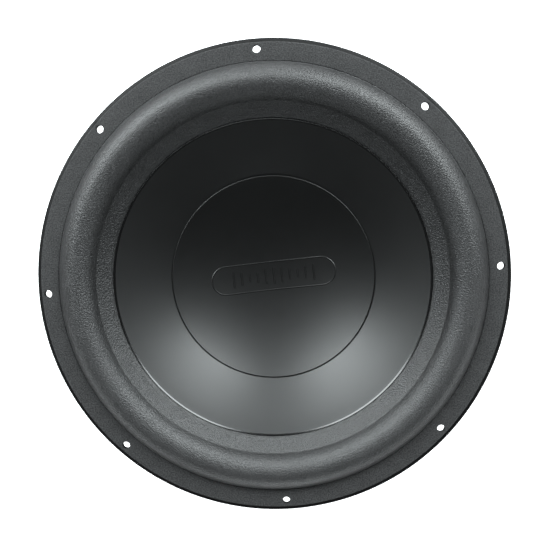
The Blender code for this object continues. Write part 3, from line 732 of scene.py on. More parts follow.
def cone_front(radius):
    run = radius - CONE_NECK_RADIUS
    return CONE_NECK_Z + CONE_SLOPE * run - CONE_FLARE * run ** 2


def make_cone():
    """Cone with a polished raised lip, and outside it the seat of the surround's landing."""
    start = CONE_LIP_RADIUS - CONE_LIP_WIDTH
    steps = 40
    radii = [CONE_NECK_RADIUS + (start - CONE_NECK_RADIUS) * step / steps
             for step in range(steps + 1)]
    front = [(radius, cone_front(radius)) for radius in radii]
    ramp = [(*front[-1], 0)]
    lip_steps = 6
    width = CONE_LIP_WIDTH / lip_steps
    for step in range(lip_steps):
        tilt = CONE_LIP_TILTS[0] + (CONE_LIP_TILTS[1] - CONE_LIP_TILTS[0]) * step / (lip_steps - 1)
        radius, z = ramp[-1][:2]
        ramp.append((radius + width, z + width * math.tan(tilt), 0))
    floor = front[-1][1] - CONE_GROOVE
    crest = (*ramp[-1][:2], 0.1 * MM)
    lip = rounded(ramp[:-1] + [crest, (CONE_LIP_RADIUS, floor, 0)], loop=False)[1:]
    groove = [(LANDING_RADIUS - GAP, floor)]
    seat = [point for point in landing_line(SURROUND_WALL + GAP) if point[0] < CONE_EDGE_RADIUS]
    under = front + lip[-1:] + groove + seat
    back = [(radius, z - CONE_WALL) for radius, z in reversed(under)]
    cone = lathe("cone_body", front + lip + groove + seat + back)
    place(cone, "cone_assembly", "cone_plastic", "cone")


def cap_front(radius):
    """Height of the dished cap's face."""
    centre = CAP_RIM_Z + CAP_SPHERE * math.cos(CAP_RIM_SLOPE)
    return centre - math.sqrt(CAP_SPHERE ** 2 - radius ** 2)


def make_dust_cap():
    steps = 48
    last = CAP_RADIUS - 0.5 * MM
    radii = [last * step / steps for step in range(steps + 1)]
    front = [(radius, cap_front(radius)) for radius in radii]
    lip = rounded([(*front[-1], 0), (CAP_RADIUS, CAP_RIM_Z, 0.45 * MM),
                   (CAP_RADIUS, CAP_RIM_Z - CAP_WALL, 0)], loop=False)[1:]
    back = [(radius, cap_front(radius) - CAP_WALL) for radius in reversed(radii)]
    cap = lathe("cap_dish", front + lip + back, loop=False)
    place(cap, "cone_assembly", "cap_plastic", "dust_cap")


BADGE_TILT = math.radians(2.7)
BADGE_HALF_LENGTH = 43.0 * MM
BADGE_HALF_HEIGHT = 9.8 * MM
BADGE_BEAD = 0.55 * MM
BADGE_BARS = 11
BADGE_BAR = 0.75 * MM
BADGE_BAR_SPACING = 5.6 * MM
BADGE_BAR_LEAST = 2.0  # half heights in millimetres: the least, and how far they rise above it
BADGE_BAR_RISE = 3.6
BADGE_BAR_WAVE = 0.58  # radians from bar to bar


def on_cap(x, y, lift):
    turned = Matrix.Rotation(BADGE_TILT, 2) @ Vector((x, y))
    return Vector((turned.x, turned.y, cap_front(turned.length) + lift))


def pill(half_length, half_height):
    """A stadium outline, as (x, y) points close enough together to follow the cap."""
    steps = 40
    straight = half_length - half_height
    points = []
    for side in (1, -1):
        for step in range(steps + 1):
            a = math.pi * step / steps - math.pi / 2
            points.append((side * (straight + half_height * math.cos(a)),
                           side * half_height * math.sin(a)))
        points += [(side * straight * (1 - 2 * step / steps), side * half_height)
                   for step in range(1, steps)]
    return points


def make_badge():
    """A raised pill outline round a row of level bars: a generic audio mark."""
    outline = [on_cap(x, y, -0.5 * BADGE_BEAD)
               for x, y in pill(BADGE_HALF_LENGTH, BADGE_HALF_HEIGHT)]
    beads = [tube("bead", outline, BADGE_BEAD, 10, closed=True)]
    for index in range(BADGE_BARS):
        along = index - (BADGE_BARS - 1) / 2
        tall = (BADGE_BAR_LEAST + BADGE_BAR_RISE * abs(math.cos(along * BADGE_BAR_WAVE))) * MM
        points = [on_cap(along * BADGE_BAR_SPACING, tall * (step / 6 - 1), -0.35 * BADGE_BAR)
                  for step in range(13)]
        beads.append(tube("bead", points, BADGE_BAR, 10))
    badge = joined("cap_relief", beads)
    place(badge, "cone_assembly", "cap_plastic")


make_gasket()
make_surround()
make_cone()
make_dust_cap()
make_badge()


# ---- basket ----
def rib_nearness(angle, radius):
    """1 on the middle line of a rib, easing to 0 at its edge. The angle counts from halfway to it."""
    pitch = math.tau / WINDOW_COUNT
    away = angle % pitch - pitch / 2
    return 1 - step_between(abs(away) * radius, RIB_HALF_WIDTH * 0.35, RIB_HALF_WIDTH)


def press_ribs(basket):
    """Pushes six ribs out, from the ledge to the skirt. They lie on the middles of the windows,
    which cut them away apart from their ends, so the spokes stay flat."""
    slope = Vector((SKIRT_FOOT[0] - LEDGE_OUTER_RADIUS, SKIRT_FOOT[1] - LEDGE_Z))
    out = Vector((slope.y, -slope.x)).normalized()
    half_turn = math.pi / WINDOW_COUNT
    for vertex in basket.data.vertices:
        x, y, z = vertex.co
        radius = math.hypot(x, y)
        along = (radius - LEDGE_OUTER_RADIUS) / slope.x
        if not 0 < along < 1:
            continue
        angle = math.atan2(y, x)
        ends = step_between(along, *RIB_START) * (1 - step_between(along, *RIB_END))
        push = RIB_HEIGHT * ends * rib_nearness(angle - half_turn, radius)
        radius += out.x * push
        vertex.co = (radius * math.cos(angle), radius * math.sin(angle), z + out.y * push)


def extrude(bm, outline, along):
    face = bm.faces.new([bm.verts.new(spot) for spot in outline])
    grown = bmesh.ops.extrude_face_region(bm, geom=[face])["geom"]
    raised = [item for item in grown if isinstance(item, bmesh.types.BMVert)]
    bmesh.ops.translate(bm, vec=along, verts=raised)


def window_cutter():
    """Openings between spokes of constant width, with rounded corners."""
    bm = bmesh.new()
    for middle in round_the_clock(WINDOW_COUNT):
        outline = []
        for radius, side in ((WINDOW_INNER_RADIUS, -1), (WINDOW_OUTER_RADIUS, 1)):
            edge = radius - side * WINDOW_CORNER
            half = math.pi / WINDOW_COUNT - math.asin(SPOKE_WIDTH / 2 / edge)
            inset = math.asin(WINDOW_CORNER / edge)
            corners = []
            for step in range(9):
                a = math.pi / 2 * step / 8
                corners.append((half - inset * (1 - math.cos(a)),
                                edge + side * WINDOW_CORNER * math.sin(a)))
            span = [((half - inset) * (1 - 2 * step / 24), radius) for step in range(1, 24)]
            mirrored = [(-angle, r) for angle, r in reversed(corners)]
            arc_points = corners + span + mirrored
            outline += arc_points if side > 0 else arc_points[::-1]
        ring = [polar(r, middle + angle) for angle, r in outline]
        bottom, top = LEDGE_Z - 4 * MM, FLANGE_BACK_Z - 4 * MM
        extrude(bm, [(spot.x, spot.y, bottom) for spot in ring], (0, 0, top - bottom))
    return from_bmesh("windows", bm)


def rounded_plate(name, x_low, x_high, outline):
    """A plate across X with the outline given as (y, z)."""
    bm = bmesh.new()
    extrude(bm, [(x_low, y, z) for y, z in outline], (x_high - x_low, 0, 0))
    return from_bmesh(name, bm)


def tab_plates():
    """The bent-down tabs that carry the terminal blocks."""
    corner = 5 * MM
    plates = []
    for side in (1, -1):
        corners = [(-TAB_HALF_WIDTH, LEDGE_Z + SHEET / 2, 0), (-TAB_HALF_WIDTH, TAB_BOTTOM_Z, corner),
                   (TAB_HALF_WIDTH, TAB_BOTTOM_Z, corner), (TAB_HALF_WIDTH, LEDGE_Z + SHEET / 2, 0)]
        outline = rounded(corners)
        faces = sorted((side * (TAB_FACE_X - SHEET), side * TAB_FACE_X))
        plates.append(rounded_plate("tab", *faces, outline))
    return joined("tabs", plates)


def cylinders(name, places, radius, depth, sides=24, axis="Z"):
    bm = bmesh.new()
    for spot in places:
        add_cylinder(bm, spot, radius, depth, sides, axis)
    return from_bmesh(name, bm)


def screw_places(z=0.0):
    return [polar(FRAME_SCREW_CIRCLE_RADIUS, angle, z) for angle in round_the_clock(SCREW_COUNT)]


def rivet_places():
    return [(side * TAB_FACE_X, y, RIVET_Z) for side in (1, -1) for y in (-RIVET_Y, RIVET_Y)]


def make_basket():
    """Pressed steel: flange, short skirt, six flat spokes, spider ledge and base."""
    base_z = low("basket").z
    line = rounded([(BASE_INNER_RADIUS, base_z, 0), (BASE_OUTER_RADIUS, base_z, 3 * MM),
                    (LEDGE_INNER_RADIUS, LEDGE_Z, 2.2 * MM), (LEDGE_OUTER_RADIUS, LEDGE_Z, 4 * MM),
                    (*SKIRT_FOOT, 5 * MM), (CUT_OUT_RADIUS, FLANGE_BACK_Z, 2.2 * MM),
                    (RIM_RADIUS, FLANGE_BACK_Z, 0)], loop=False, turn=9)
    fine = []
    for first, second in zip(line, line[1:]):
        long = first[0] > LEDGE_OUTER_RADIUS and second[0] - first[0] > 20 * MM
        steps = 44 if long else 1  # the spokes' slope is divided finely for the ribs
        fine += [(first[0] + (second[0] - first[0]) * step / steps,
                  first[1] + (second[1] - first[1]) * step / steps) for step in range(steps)]
    fine.append(line[-1])
    inside = offset(fine, SHEET)[::-1]
    edge = SHEET / 2
    middle_z = FLANGE_BACK_Z + edge
    turned_edge = [(RIM_RADIUS - edge + edge * math.cos(a), middle_z + edge * math.sin(a))
                   for a in [math.radians(angle) for angle in (-60, -30, 0, 30, 60)]]
    fine[-1] = (RIM_RADIUS - edge, FLANGE_BACK_Z)
    inside[0] = (RIM_RADIUS - edge, FLANGE_BACK_Z + SHEET)
    basket = lathe("basket_shell", fine + turned_edge + inside, 480)
    press_ribs(basket)
    cut(basket, window_cutter())
    cut(basket, tab_plates(), operation="UNION")
    cut(basket, cylinders("base_holes", screw_places(base_z), FRAME_SCREW_RADIUS + GAP, 10 * MM),
        cylinders("rivet_holes", rivet_places(), RIVET_RADIUS + GAP, 6 * MM, axis="X"),
        hole_cutter(FLANGE_BACK_Z - MM, FLANGE_TOP_Z + MM))
    bevel(basket, 0.35 * MM, 2, 50)
    smooth(basket.data, 40)
    place(basket, "frame", "basket_paint", "basket")


# ---- magnet motor ----
def make_boot():
    """Moulded rubber boot with shallow grooves round it and a recessed ring underneath."""
    wall = 3.0 * MM
    opening = 30.0 * MM
    groove = 0.7 * MM
    recess, edge = 0.9 * MM, 0.4 * MM
    corners = [(BOOT_RADIUS - wall, wall, 1.0 * MM), (BOOT_RADIUS - wall, BOOT_HEIGHT, 0.8 * MM),
               (BOOT_RADIUS, BOOT_HEIGHT, 1.2 * MM)]
    for middle in BOOT_GROOVES:
        for rise, deep in ((1.4, 0), (0.7, groove), (-0.7, groove), (-1.4, 0)):
            corners.append((BOOT_RADIUS - deep, middle + rise * MM, 0.3 * MM))
    corners += [(BOOT_RADIUS, 4 * MM, 3 * MM), (BOOT_RADIUS - 4 * MM, 0, 2 * MM),
                (66 * MM, 0, edge), (65 * MM, recess, edge), (45 * MM, recess, edge),
               (44 * MM, 0, edge), (opening, 0, 0.8 * MM), (opening, wall, 0.8 * MM)]
    boot = lathe("rubber_boot", rounded(corners), 192)
    place(boot, "frame", "boot_rubber", "magnet_boot")


def make_yoke():
    """Turned back plate and vented pole, with a flared vent and an undercut below the top."""
    plate_top = YOKE_BOTTOM_Z + 10 * MM
    pole = 30.0 * MM
    recess = 16.3 * MM
    recess_top = YOKE_BOTTOM_Z + 1.3 * MM
    waist = pole - 1.5 * MM
    corners = [(recess, YOKE_BOTTOM_Z, 0.3 * MM), (recess, recess_top, 0),
               (VENT_RADIUS, recess_top, 0.5 * MM), (VENT_RADIUS, POLE_TOP_Z, 3.0 * MM),
               (pole, POLE_TOP_Z, 1.0 * MM), (pole, POLE_TOP_Z - 16 * MM, 0.5 * MM),
               (waist, POLE_TOP_Z - 18 * MM, 0.5 * MM),
               (waist, plate_top + 3 * MM, 2 * MM), (pole, plate_top, 0.5 * MM),
               (PLATE_RADIUS, plate_top, 1.0 * MM), (PLATE_RADIUS, YOKE_BOTTOM_Z, 1.2 * MM)]
    yoke = lathe("yoke", rounded(corners), MEDIUM)
    place(yoke, "frame", "plated_steel", "back_plate_with_pole")


def make_vent_screen():
    """Woven wire cloth held in a rolled ring."""
    bottom = low("vent_screen").z
    top = high("vent_screen").z
    middle = (bottom + top) / 2
    outer = high("vent_screen").x
    half = (top - bottom) / 2
    ring = [(radius, z, 0.3 * MM) for radius, z in ((outer - 1.2 * MM, bottom),
                                                    (outer - 1.2 * MM, top),
                                                    (outer, top), (outer, bottom))]
    pieces = [lathe("ring", rounded(ring), 96)]
    pitch = 1.5 * MM
    wire = 0.22 * MM
    reach = outer - 0.7 * MM
    count = int(reach / pitch)
    for line in range(-count, count + 1):
        across = line * pitch
        length = math.sqrt(reach ** 2 - across ** 2)
        steps = max(4, int(4 * length / pitch))
        for turned in (False, True):
            points = []
            for step in range(steps + 1):
                along = length * (2 * step / steps - 1)
                phase = math.pi * (along / pitch + line + turned)
                z = middle + (half - wire) * 0.55 * math.cos(phase)
                points.append((across, along, z) if turned else (along, across, z))
            pieces.append(tube("wire", points, wire, 6))
    screen = joined("vent_mesh", pieces)
    place(screen, "frame", "screen_steel", "vent_screen")


def make_ring_piece(name, node, inner, edge, material):
    """A chamfered ring in place of a plain ring node."""
    bottom, top, outer = low(node).z, high(node).z, high(node).x
    profile = [(inner + edge, bottom), (outer - edge, bottom), (outer, bottom + edge),
               (outer, top - edge), (outer - edge, top), (inner + edge, top),
               (inner, top - edge), (inner, bottom + edge)]
    ring = lathe(name, profile, MEDIUM, angle=25)
    place(ring, "frame", material, node)
    return ring


def make_magnets():
    for name in ("magnet_lower", "magnet_upper"):
        make_ring_piece(name.replace("magnet", "ferrite_ring"), name, 40 * MM, 1.2 * MM, "ferrite")


def make_top_plate():
    plate = make_ring_piece("front_plate", "top_plate", TOP_PLATE_HOLE_RADIUS, 0.8 * MM,
                            "plated_steel")
    places = screw_places(TOP_PLATE_TOP_Z - 3 * MM)
    cut(plate, cylinders("tapped_holes", places, FRAME_SCREW_RADIUS + GAP, 10 * MM))
    smooth(plate.data, 25)


def make_windings():
    """Each layer shows its turns of round wire."""
    for name in ("coil_winding_inner", "coil_winding_outer"):
        bottom, top, outer = low(name).z, high(name).z, high(name).x
        wire = 0.4 * MM
        turns = int((top - bottom) / (2 * wire))
        middle = outer - wire
        outside, inside = [], []
        for turn in range(turns):
            z = bottom + wire * (2 * turn + 1)
            for angle in (-70, -35, 0, 35, 70):
                a = math.radians(angle)
                outside.append((middle + wire * math.cos(a), z + wire * math.sin(a)))
                inside.append((middle - wire * math.cos(a), z + wire * math.sin(a)))
        winding = lathe(name + "_wire", outside + inside[::-1], 96, angle=60)
        place(winding, "cone_assembly", "copper_wire", name)


def make_former():
    """Thin aluminium tube with rounded edges at its top."""
    bottom = low("coil_former").z
    inner = FORMER_RADIUS - 0.5 * MM
    edge_z = FORMER_TOP_Z - 0.2 * MM
    profile = [(inner, edge_z), (inner + 0.2 * MM, FORMER_TOP_Z),
               (FORMER_RADIUS - 0.1 * MM, FORMER_TOP_Z), (FORMER_RADIUS, edge_z),
               (FORMER_RADIUS, bottom), (inner, bottom)]
    former = lathe("former_tube", profile, MEDIUM, angle=30)
    place(former, "cone_assembly", "former_aluminium", "coil_former")


# ---- spider ----
def spider_line():
    """The corrugated middle line of the cloth, from the collar to the glued rim."""
    bottom = low("spider").z
    start, end = 36.5 * MM, 71.8 * MM
    amplitude = (high("spider").z - bottom - SPIDER_WALL) / 2
    points = [(CONE_NECK_RADIUS, SPIDER_Z + 1.0 * MM),
              (CONE_NECK_RADIUS + 0.7 * MM, SPIDER_Z + 0.2 * MM),
              (CONE_NECK_RADIUS + 1.8 * MM, SPIDER_Z)]
    steps = 12 * SPIDER_WAVES
    for step in range(steps + 1):
        share = step / steps
        points.append((start + (end - start) * share,
                       SPIDER_Z + amplitude * math.sin(math.tau * SPIDER_WAVES * share)))
    return points + [(end + 1.0 * MM, SPIDER_Z), (SPIDER_RADIUS, SPIDER_Z)]


def make_spider():
    spider = lathe("spider_cloth", sheet(spider_line()[::-1], SPIDER_WALL), SPIDER_SIDES, angle=60)
    place(spider, None, "spider_cloth", "spider")
    blend_radially(spider)


# ---- fasteners ----
def make_frame_screws():
    """Pan head screws with a hex socket and a cut thread."""
    base = high("frame_screw_1").z
    head_bottom = base - SCREW_HEAD_HEIGHT
    tip = low("frame_screw_1").z
    shank = FRAME_SCREW_RADIUS
    thread = [(shank, head_bottom)]
    pitch = 0.8 * MM
    root = shank - 0.35 * MM
    z = head_bottom - 2 * MM
    while z > tip + 2 * pitch:
        thread += [(shank, z), (root, z - pitch / 2)]
        z -= pitch
    profile = [(0, base), *rounded([(0, base, 0), (SCREW_HEAD_RADIUS, base, 1.4 * MM),
                                    (SCREW_HEAD_RADIUS, head_bottom, 0.3 * MM),
                                    (shank, head_bottom, 0)], loop=False)[1:-1],
               *thread, (root, tip + 0.6 * MM), (shank - 1.0 * MM, tip), (0, tip)]
    for number, spot in enumerate(screw_places(), 1):
        screw = lathe(f"screw_{number}", profile, SMALL, loop=False, angle=40)
        cut(screw, cylinders("socket", [(0, 0, base)], 2.3 * MM, 3.2 * MM, 6))
        smooth(screw.data, 40)
        screw.data.transform(Matrix.Translation(spot))
        place(screw, "frame", "screw_steel", f"frame_screw_{number}")


# ---- push terminals ----
def side_turn(letter):
    return Matrix.Rotation(0.0 if letter == "a" else math.pi, 4, "Z")


def box(name, lowest, highest):
    lowest, highest = Vector(lowest), Vector(highest)
    bm = bmesh.new()
    size = Matrix.Diagonal((*(highest - lowest), 1.0))
    bmesh.ops.create_cube(bm, size=1.0, matrix=Matrix.Translation((lowest + highest) / 2) @ size)
    return from_bmesh(name, bm)


def box_round(name, x_low, x_high, y, z, half_width, half_height):
    """A box along X with the point (y, z) in its middle."""
    return box(name, (x_low, y - half_width, z - half_height),
               (x_high, y + half_width, z + half_height))


def sign_bars(pole, front):
    """Corners of the bars of a generic plus or minus sign that stands proud of the front. The
    bars are cut in one by one, and differ in depth, so that no faces coincide."""
    y, z = pole * (BUTTON_Y + 7.9 * MM), BLOCK_Z[1] - 4.2 * MM
    arm, thick = 1.5 * MM, 0.35 * MM
    bars = [((front - 0.2 * MM, y - arm, z - thick), (front + 0.3 * MM, y + arm, z + thick))]
    if pole > 0:
        bars.append(((front - 0.25 * MM, y - thick, z - arm),
                     (front + 0.28 * MM, y + thick, z + arm)))
    return bars


def middle_of(node):
    """Middle of the node's box along X and Y."""
    lowest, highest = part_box(node)
    return (lowest.x + highest.x) / 2, (lowest.y + highest.y) / 2


def make_block(letter):
    """Moulded block: framed button mouths, funnelled wire holes, ears, lug slots and signs."""
    back, front = BLOCK_X
    face = front - FRAME_PROUD
    block = box("block", (back, -BLOCK_HALF_WIDTH, BLOCK_Z[0]), (face, BLOCK_HALF_WIDTH, BLOCK_Z[1]))
    bevel(block, 1.2 * MM, 4)
    ear_corners = [(y * EAR_HALF_WIDTH, RIVET_Z + z * EAR_HALF_HEIGHT, 2 * MM)
                   for y, z in ((-1, -1), (1, -1), (1, 1), (-1, 1))]
    ears = rounded_plate("ears", back, back + EAR_DEPTH, rounded(ear_corners))
    bevel(ears, 0.4 * MM, 2)
    cut(block, ears, operation="UNION")
    wide, tall = BUTTON_HALF
    frame_edge, room = 1.6 * MM, 1.3 * MM
    for pole in (1, -1):
        y = pole * BUTTON_Y
        mouth_frame = box_round("frame", face - MM, front, y, BUTTON_Z, wide + frame_edge,
                                tall + frame_edge)
        bevel(mouth_frame, 0.4 * MM, 2)
        collar = cylinders("collar", [(front - 2 * MM, y, WIRE_HOLE_Z)], COLLAR_RADIUS, 3.6 * MM,
                           32, "X")
        bevel(collar, 0.3 * MM, 2)
        cut(block, mouth_frame, collar, operation="UNION")
        for bar in sign_bars(pole, face):
            cut(block, box("sign", *bar), operation="UNION")
        pocket = box_round("pocket", back - 2 * MM, front - 1.5 * MM, y, BUTTON_Z, wide + room,
                           tall + room)
        mouth = box_round("mouth", front - 3 * MM, front + 2 * MM, y, BUTTON_Z, wide + GAP,
                          tall + GAP)
        hole = cylinders("hole", [(front - 4 * MM, y, WIRE_HOLE_Z)], WIRE_HOLE_RADIUS, 12 * MM,
                         32, "X")
        lug_x, lug_y = middle_of(f"solder_lug_a_{POLE_NAMES[pole]}")
        deep, across = LUG_SLOT
        slot = box("slot", (lug_x - deep, lug_y - across, LUG_SLOT_BOTTOM_Z),
                   (lug_x + deep, lug_y + across, BLOCK_Z[1] + 2 * MM))
        rivet = cylinders("rivet", [(back + 2 * MM, pole * RIVET_Y, RIVET_Z)],
                          RIVET_RADIUS + GAP, 8 * MM, 24, "X")
        cut(block, pocket, mouth, hole, slot, rivet)
    bevel(block, 0.15 * MM, 1, 50)
    smooth(block.data, 35)
    block.data.transform(side_turn(letter))
    block.name = f"push_terminal_{letter}"
    place(block, "frame", "terminal_plastic", f"terminal_block_{letter}")


def make_button(letter, pole, name):
    """Pressed cap with four finger ridges on its face and a retaining shoulder behind."""
    wide, tall = BUTTON_HALF
    shoulder = BLOCK_X[1] - 1.8 * MM
    y = pole * BUTTON_Y
    face = BLOCK_X[1] + 2.0 * MM
    cap = box_round("cap", shoulder - MM, face, y, BUTTON_Z, wide, tall)
    bevel(cap, 0.8 * MM, 4)
    ridges = []
    ridge_end = wide - 1.1 * MM
    for rise in (-2.2, -0.75, 0.7, 2.15):
        points = [(face, y + across, BUTTON_Z + rise * MM) for across in (-ridge_end, 0, ridge_end)]
        ridges.append(tube("ridge", points, 0.48 * MM, 12))
    flange = box_round("flange", shoulder - 2.3 * MM, shoulder, y, BUTTON_Z, wide + MM, tall + MM)
    bevel(flange, 0.25 * MM, 2)
    cut(cap, flange, *ridges, operation="UNION")
    smooth(cap.data, 35)
    cap.data.transform(side_turn(letter))
    cap.name = f"button_cap_{name}"
    finish = "red_plastic" if pole > 0 else "black_plastic"
    place(cap, f"button_{name}", finish, f"push_button_{name}")


def make_spring(letter, pole, name):
    """A helical spring round the button's axis."""
    node = f"button_spring_{name}"
    wire = 0.3 * MM
    coil = 2.8 * MM
    turns, per_turn = 4, 24
    unevenness = 0.04  # of the turns' spacing, which is widest at the ends and in the middle
    lowest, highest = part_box(node)
    start, end = sorted((abs(lowest.x), abs(highest.x)))
    start, end = start + wire, end - wire
    points = []
    for step in range(turns * per_turn + 1):
        share = step / (turns * per_turn)
        along = share + math.sin(math.tau * share * 2) * unevenness
        a = math.tau * step / per_turn
        points.append((start + (end - start) * along, pole * BUTTON_Y + coil * math.cos(a),
                       BUTTON_Z + coil * math.sin(a)))
    spring = tube(f"spring_{name}", points, wire, 10)
    spring.data.transform(side_turn(letter))
    place(spring, "frame", "spring_steel", node)
    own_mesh(spring)


def make_lug(letter, pole, name):
    """Stamped brass lug with a waist and a round eye."""
    node = f"solder_lug_a_{POLE_NAMES[pole]}"
    x, y = middle_of(node)
    lowest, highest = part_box(node)
    half = (highest.y - lowest.y) / 2
    top, bottom = highest.z, lowest.z
    crown = []
    for step in range(13):
        a = math.pi * step / 12
        crown.append((y + half * math.cos(a), top - half + half * math.sin(a)))
    shoulder, waist_start, waist_end = LUG_HEIGHTS
    edge = [(half, bottom), (half, shoulder), (half * 0.72, waist_start), (half * 0.72, waist_end)]
    outline = ([(y + across, z) for across, z in edge] + crown
               + [(y - across, z) for across, z in reversed(edge)])
    lug = rounded_plate("lug", lowest.x, highest.x, outline)
    cut(lug, cylinders("eye", [(x, y, top - half)], 0.8 * MM, 4 * MM, 24, "X"))
    bevel(lug, 0.12 * MM, 1, 50)
    smooth(lug.data, 35)
    lug.data.transform(side_turn(letter))
    lug.name = f"lug_{name}"
    place(lug, "frame", "lug_brass", f"solder_lug_{name}")


def make_rivet(letter, pole, name):
    """Domed blind rivet with the hole its mandrel leaves."""
    lowest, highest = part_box("block_rivet_a_positive")
    outside = BLOCK_X[0] + EAR_DEPTH + GAP
    inside = TAB_FACE_X - SHEET - GAP
    top, tail = highest.x, lowest.x
    head = RIVET_HEAD_RADIUS
    hole, flat, sink, hole_floor = 0.55 * MM, 0.75 * MM, 0.15 * MM, outside + 0.3 * MM
    dome = [(hole, hole_floor), (hole, top - sink), (flat, top)]
    for step in range(1, 8):
        a = math.pi / 2 * step / 7
        dome.append((flat + (head - flat) * math.sin(a),
                     outside + sink + (top - outside - sink) * math.cos(a)))
    profile = [(0, hole_floor), *dome, (head, outside), (RIVET_RADIUS, outside),
               (RIVET_RADIUS, inside), (1.7 * MM, inside), (2.05 * MM, inside - 0.5 * MM),
               (1.6 * MM, tail), (0, tail)]
    rivet = lathe(f"rivet_{name}", profile, 32, loop=False, angle=40)
    rivet.data.transform(side_turn(letter) @ Matrix.Translation((0, pole * RIVET_Y, RIVET_Z))
                         @ Matrix.Rotation(math.radians(90), 4, "Y"))
    place(rivet, "frame", "rivet_aluminium", f"block_rivet_{name}")


def smooth_path(route, count):
    """Points spread along a Catmull-Rom curve through the route."""
    ends = [2 * route[0] - route[1], *route, 2 * route[-1] - route[-2]]
    path = []
    for step in range(count):
        along = (len(route) - 1) * step / (count - 1)
        index = min(int(along), len(route) - 2)
        t = along - index
        p0, p1, p2, p3 = ends[index:index + 4]
        path.append(0.5 * (2 * p1 + (p2 - p0) * t + (2 * p0 - 5 * p1 + 4 * p2 - p3) * t ** 2
                           + (3 * p1 - p0 - 3 * p2 + p3) * t ** 3))
    return path


def make_lead(letter, pole, name):
    """Braided tinsel lead: strands laid round each other."""
    route = [Vector((x, pole * y, z)) for x, y, z in LEAD_ROUTE]
    path = smooth_path(route, 140)
    strands, strand, orbit = 6, 0.30 * MM, 0.66 * MM
    lay, weave = 7 * MM, 0.035 * MM  # length of one turn, and how far a strand weaves in and out
    pieces = []
    for sense in (1, -1):
        for number in range(strands):
            points = []
            travelled = 0.0
            for index, point in enumerate(path):
                if index:
                    travelled += (point - path[index - 1]).length
                along = path[min(index + 1, len(path) - 1)] - path[max(index - 1, 0)]
                side = along.cross(Vector((0, 0, 1))).normalized()
                up = side.cross(along).normalized()
                a = sense * travelled * math.tau / lay + math.tau * number / strands
                wave = orbit + sense * weave * math.cos(strands * a)
                points.append(point + side * wave * math.cos(a) + up * wave * math.sin(a))
            pieces.append(tube("strand", points, strand, 6))
    core = tube("core", path, 0.6 * MM, 8)
    lead = joined(f"lead_{name}", [core, *pieces])
    turn = side_turn(letter)
    lead.data.transform(turn)
    place(lead, None, "tinsel_braid", f"tinsel_lead_{name}")
    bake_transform(lead)


def make_terminals():
    for letter in "ab":
        make_block(letter)
        for pole in (1, -1):
            name = f"{letter}_{POLE_NAMES[pole]}"
            for make in (make_button, make_spring, make_lug, make_rivet, make_lead):
                make(letter, pole, name)


for make_piece in (make_basket, make_boot, make_yoke, make_vent_screen, make_magnets,
                   make_top_plate, make_windings, make_former, make_spider, make_frame_screws,
                   make_terminals):
    make_piece()


# ---- stage, light and camera ----
KEY_AZIMUTH = 40.8
KEY_ELEVATION = 37.8
KEY_DISTANCE = 2.6
KEY_SIZE = 1.6
KEY_POWER = 112
COOL_WHITE = (0.98, 1.0, 1.01)
FILL_ELEVATION = 2.0
FILL_SIZE = 1.56
FILL_POWER = 20.7
STRIP_AZIMUTHS = (-50, 0, 50, 130, 230)  # low strips that stand in for the white table's glow
STRIP_ELEVATION = -4.0
STRIP_DISTANCE = 1.2
STRIP_WIDTH = 0.9
STRIP_HEIGHT = 0.16
STRIP_POWER = 2.4
SKY = [(0.0, 0.42), (0.25, 0.267), (0.5, 0.035), (0.85, 0.112), (1.0, 0.039)]  # by height
SKY_SIDES = (0.70, 1.35)  # how bright it is across the part and along it
FLOOR_SHADE = (0.12, 0.20)  # radii between which the floor's own glow rises
LENS = 50.03
CAMERA_PLACE = (0.02355, 0.04587, FACE_Z + 0.4976)
CAMERA_ANGLES = (-5.036, 2.116, -3.778)


def make_floor():
    bm = bmesh.new()
    bmesh.ops.create_grid(bm, x_segments=1, y_segments=1, size=12.0)
    floor = from_bmesh("floor", bm)
    surface = Surface("floor", 0.9, specular=0.2)
    surface.colour(surface.noise(0.4, 2.0), grey(0.86), grey(0.90))
    surface.shader.inputs["Emission Color"].default_value = (1, 1, 1, 1)
    glow = surface.spread(surface.radius(), 0.65, 1.0, *FLOOR_SHADE)
    surface.link(glow, surface.shader.inputs["Emission Strength"])
    floor.data.materials.append(surface.material)
    floor.visible_glossy = False


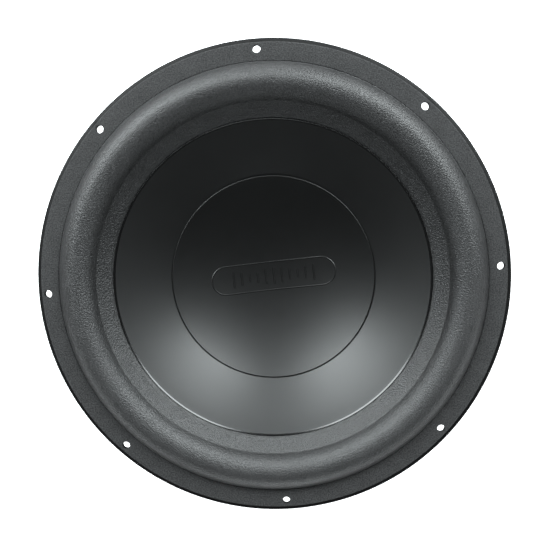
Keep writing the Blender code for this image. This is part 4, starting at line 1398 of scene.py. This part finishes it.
def make_world():
    """A sky that lights the part, while the camera sees plain white."""
    world = bpy.data.worlds.new("studio")
    world.use_nodes = True
    bpy.context.scene.world = world
    nodes = Nodes(world.node_tree)
    background = nodes.tree.nodes["Background"]
    split = nodes.node("ShaderNodeSeparateXYZ")
    nodes.link(nodes.node("ShaderNodeTexCoord").outputs["Generated"], split.inputs["Vector"])
    shades = [(height, [level * share for share in COOL_WHITE]) for height, level in SKY]
    nodes.link(nodes.ramp(split.outputs["Z"], shades), background.inputs["Color"])
    along = nodes.math("POWER", split.outputs["Y"], 2.0)
    nodes.link(nodes.spread(along, *SKY_SIDES), background.inputs["Strength"])
    seen = nodes.node("ShaderNodeBackground")
    seen.inputs["Color"].default_value = (1, 1, 1, 1)
    path = nodes.node("ShaderNodeLightPath")
    mix = nodes.node("ShaderNodeMixShader")
    for source, target in ((path.outputs["Is Camera Ray"], mix.inputs["Fac"]),
                           (background.outputs[0], mix.inputs[1]),
                           (seen.outputs[0], mix.inputs[2]),
                           (mix.outputs[0], nodes.tree.nodes["World Output"].inputs["Surface"])):
        nodes.link(source, target)


def add_softbox(name, azimuth, elevation, distance, size, power, height=None):
    """A soft light aimed at the cone. Azimuth is counted from +Y towards +X."""
    a, e = math.radians(azimuth), math.radians(elevation)
    towards = Vector((math.sin(a) * math.cos(e), math.cos(a) * math.cos(e), math.sin(e)))
    light = bpy.data.lights.new(name, "AREA")
    light.shape = "RECTANGLE"
    light.size = size
    light.size_y = height or size
    light.energy = power
    light.color = COOL_WHITE
    lamp = new_object(name, light)
    aim = Vector((0, 0, FACE_Z))
    lamp.location = aim + towards * distance
    lamp.rotation_euler = towards.to_track_quat("Z", "Y").to_euler()
    lamp.visible_camera = False


def make_camera():
    data = bpy.data.cameras.new("camera")
    data.sensor_width = 36.0
    data.lens = LENS
    camera = new_object("camera", data)
    camera.location = CAMERA_PLACE
    camera.rotation_euler = [math.radians(angle) for angle in CAMERA_ANGLES]
    data.clip_start = 0.01
    data.clip_end = 100
    bpy.context.scene.camera = camera


make_floor()
make_world()
for key, azimuth in (("left_softbox", -KEY_AZIMUTH), ("right_softbox", KEY_AZIMUTH)):
    add_softbox(key, azimuth, KEY_ELEVATION, KEY_DISTANCE, KEY_SIZE, KEY_POWER)
add_softbox("fill_softbox", 180, FILL_ELEVATION, KEY_DISTANCE, FILL_SIZE, FILL_POWER)
for number, azimuth in enumerate(STRIP_AZIMUTHS):
    add_softbox(f"strip_{number}", azimuth, STRIP_ELEVATION, STRIP_DISTANCE, STRIP_WIDTH,
                STRIP_POWER, STRIP_HEIGHT)
make_camera()
bpy.context.scene.view_settings.view_transform = "Standard"
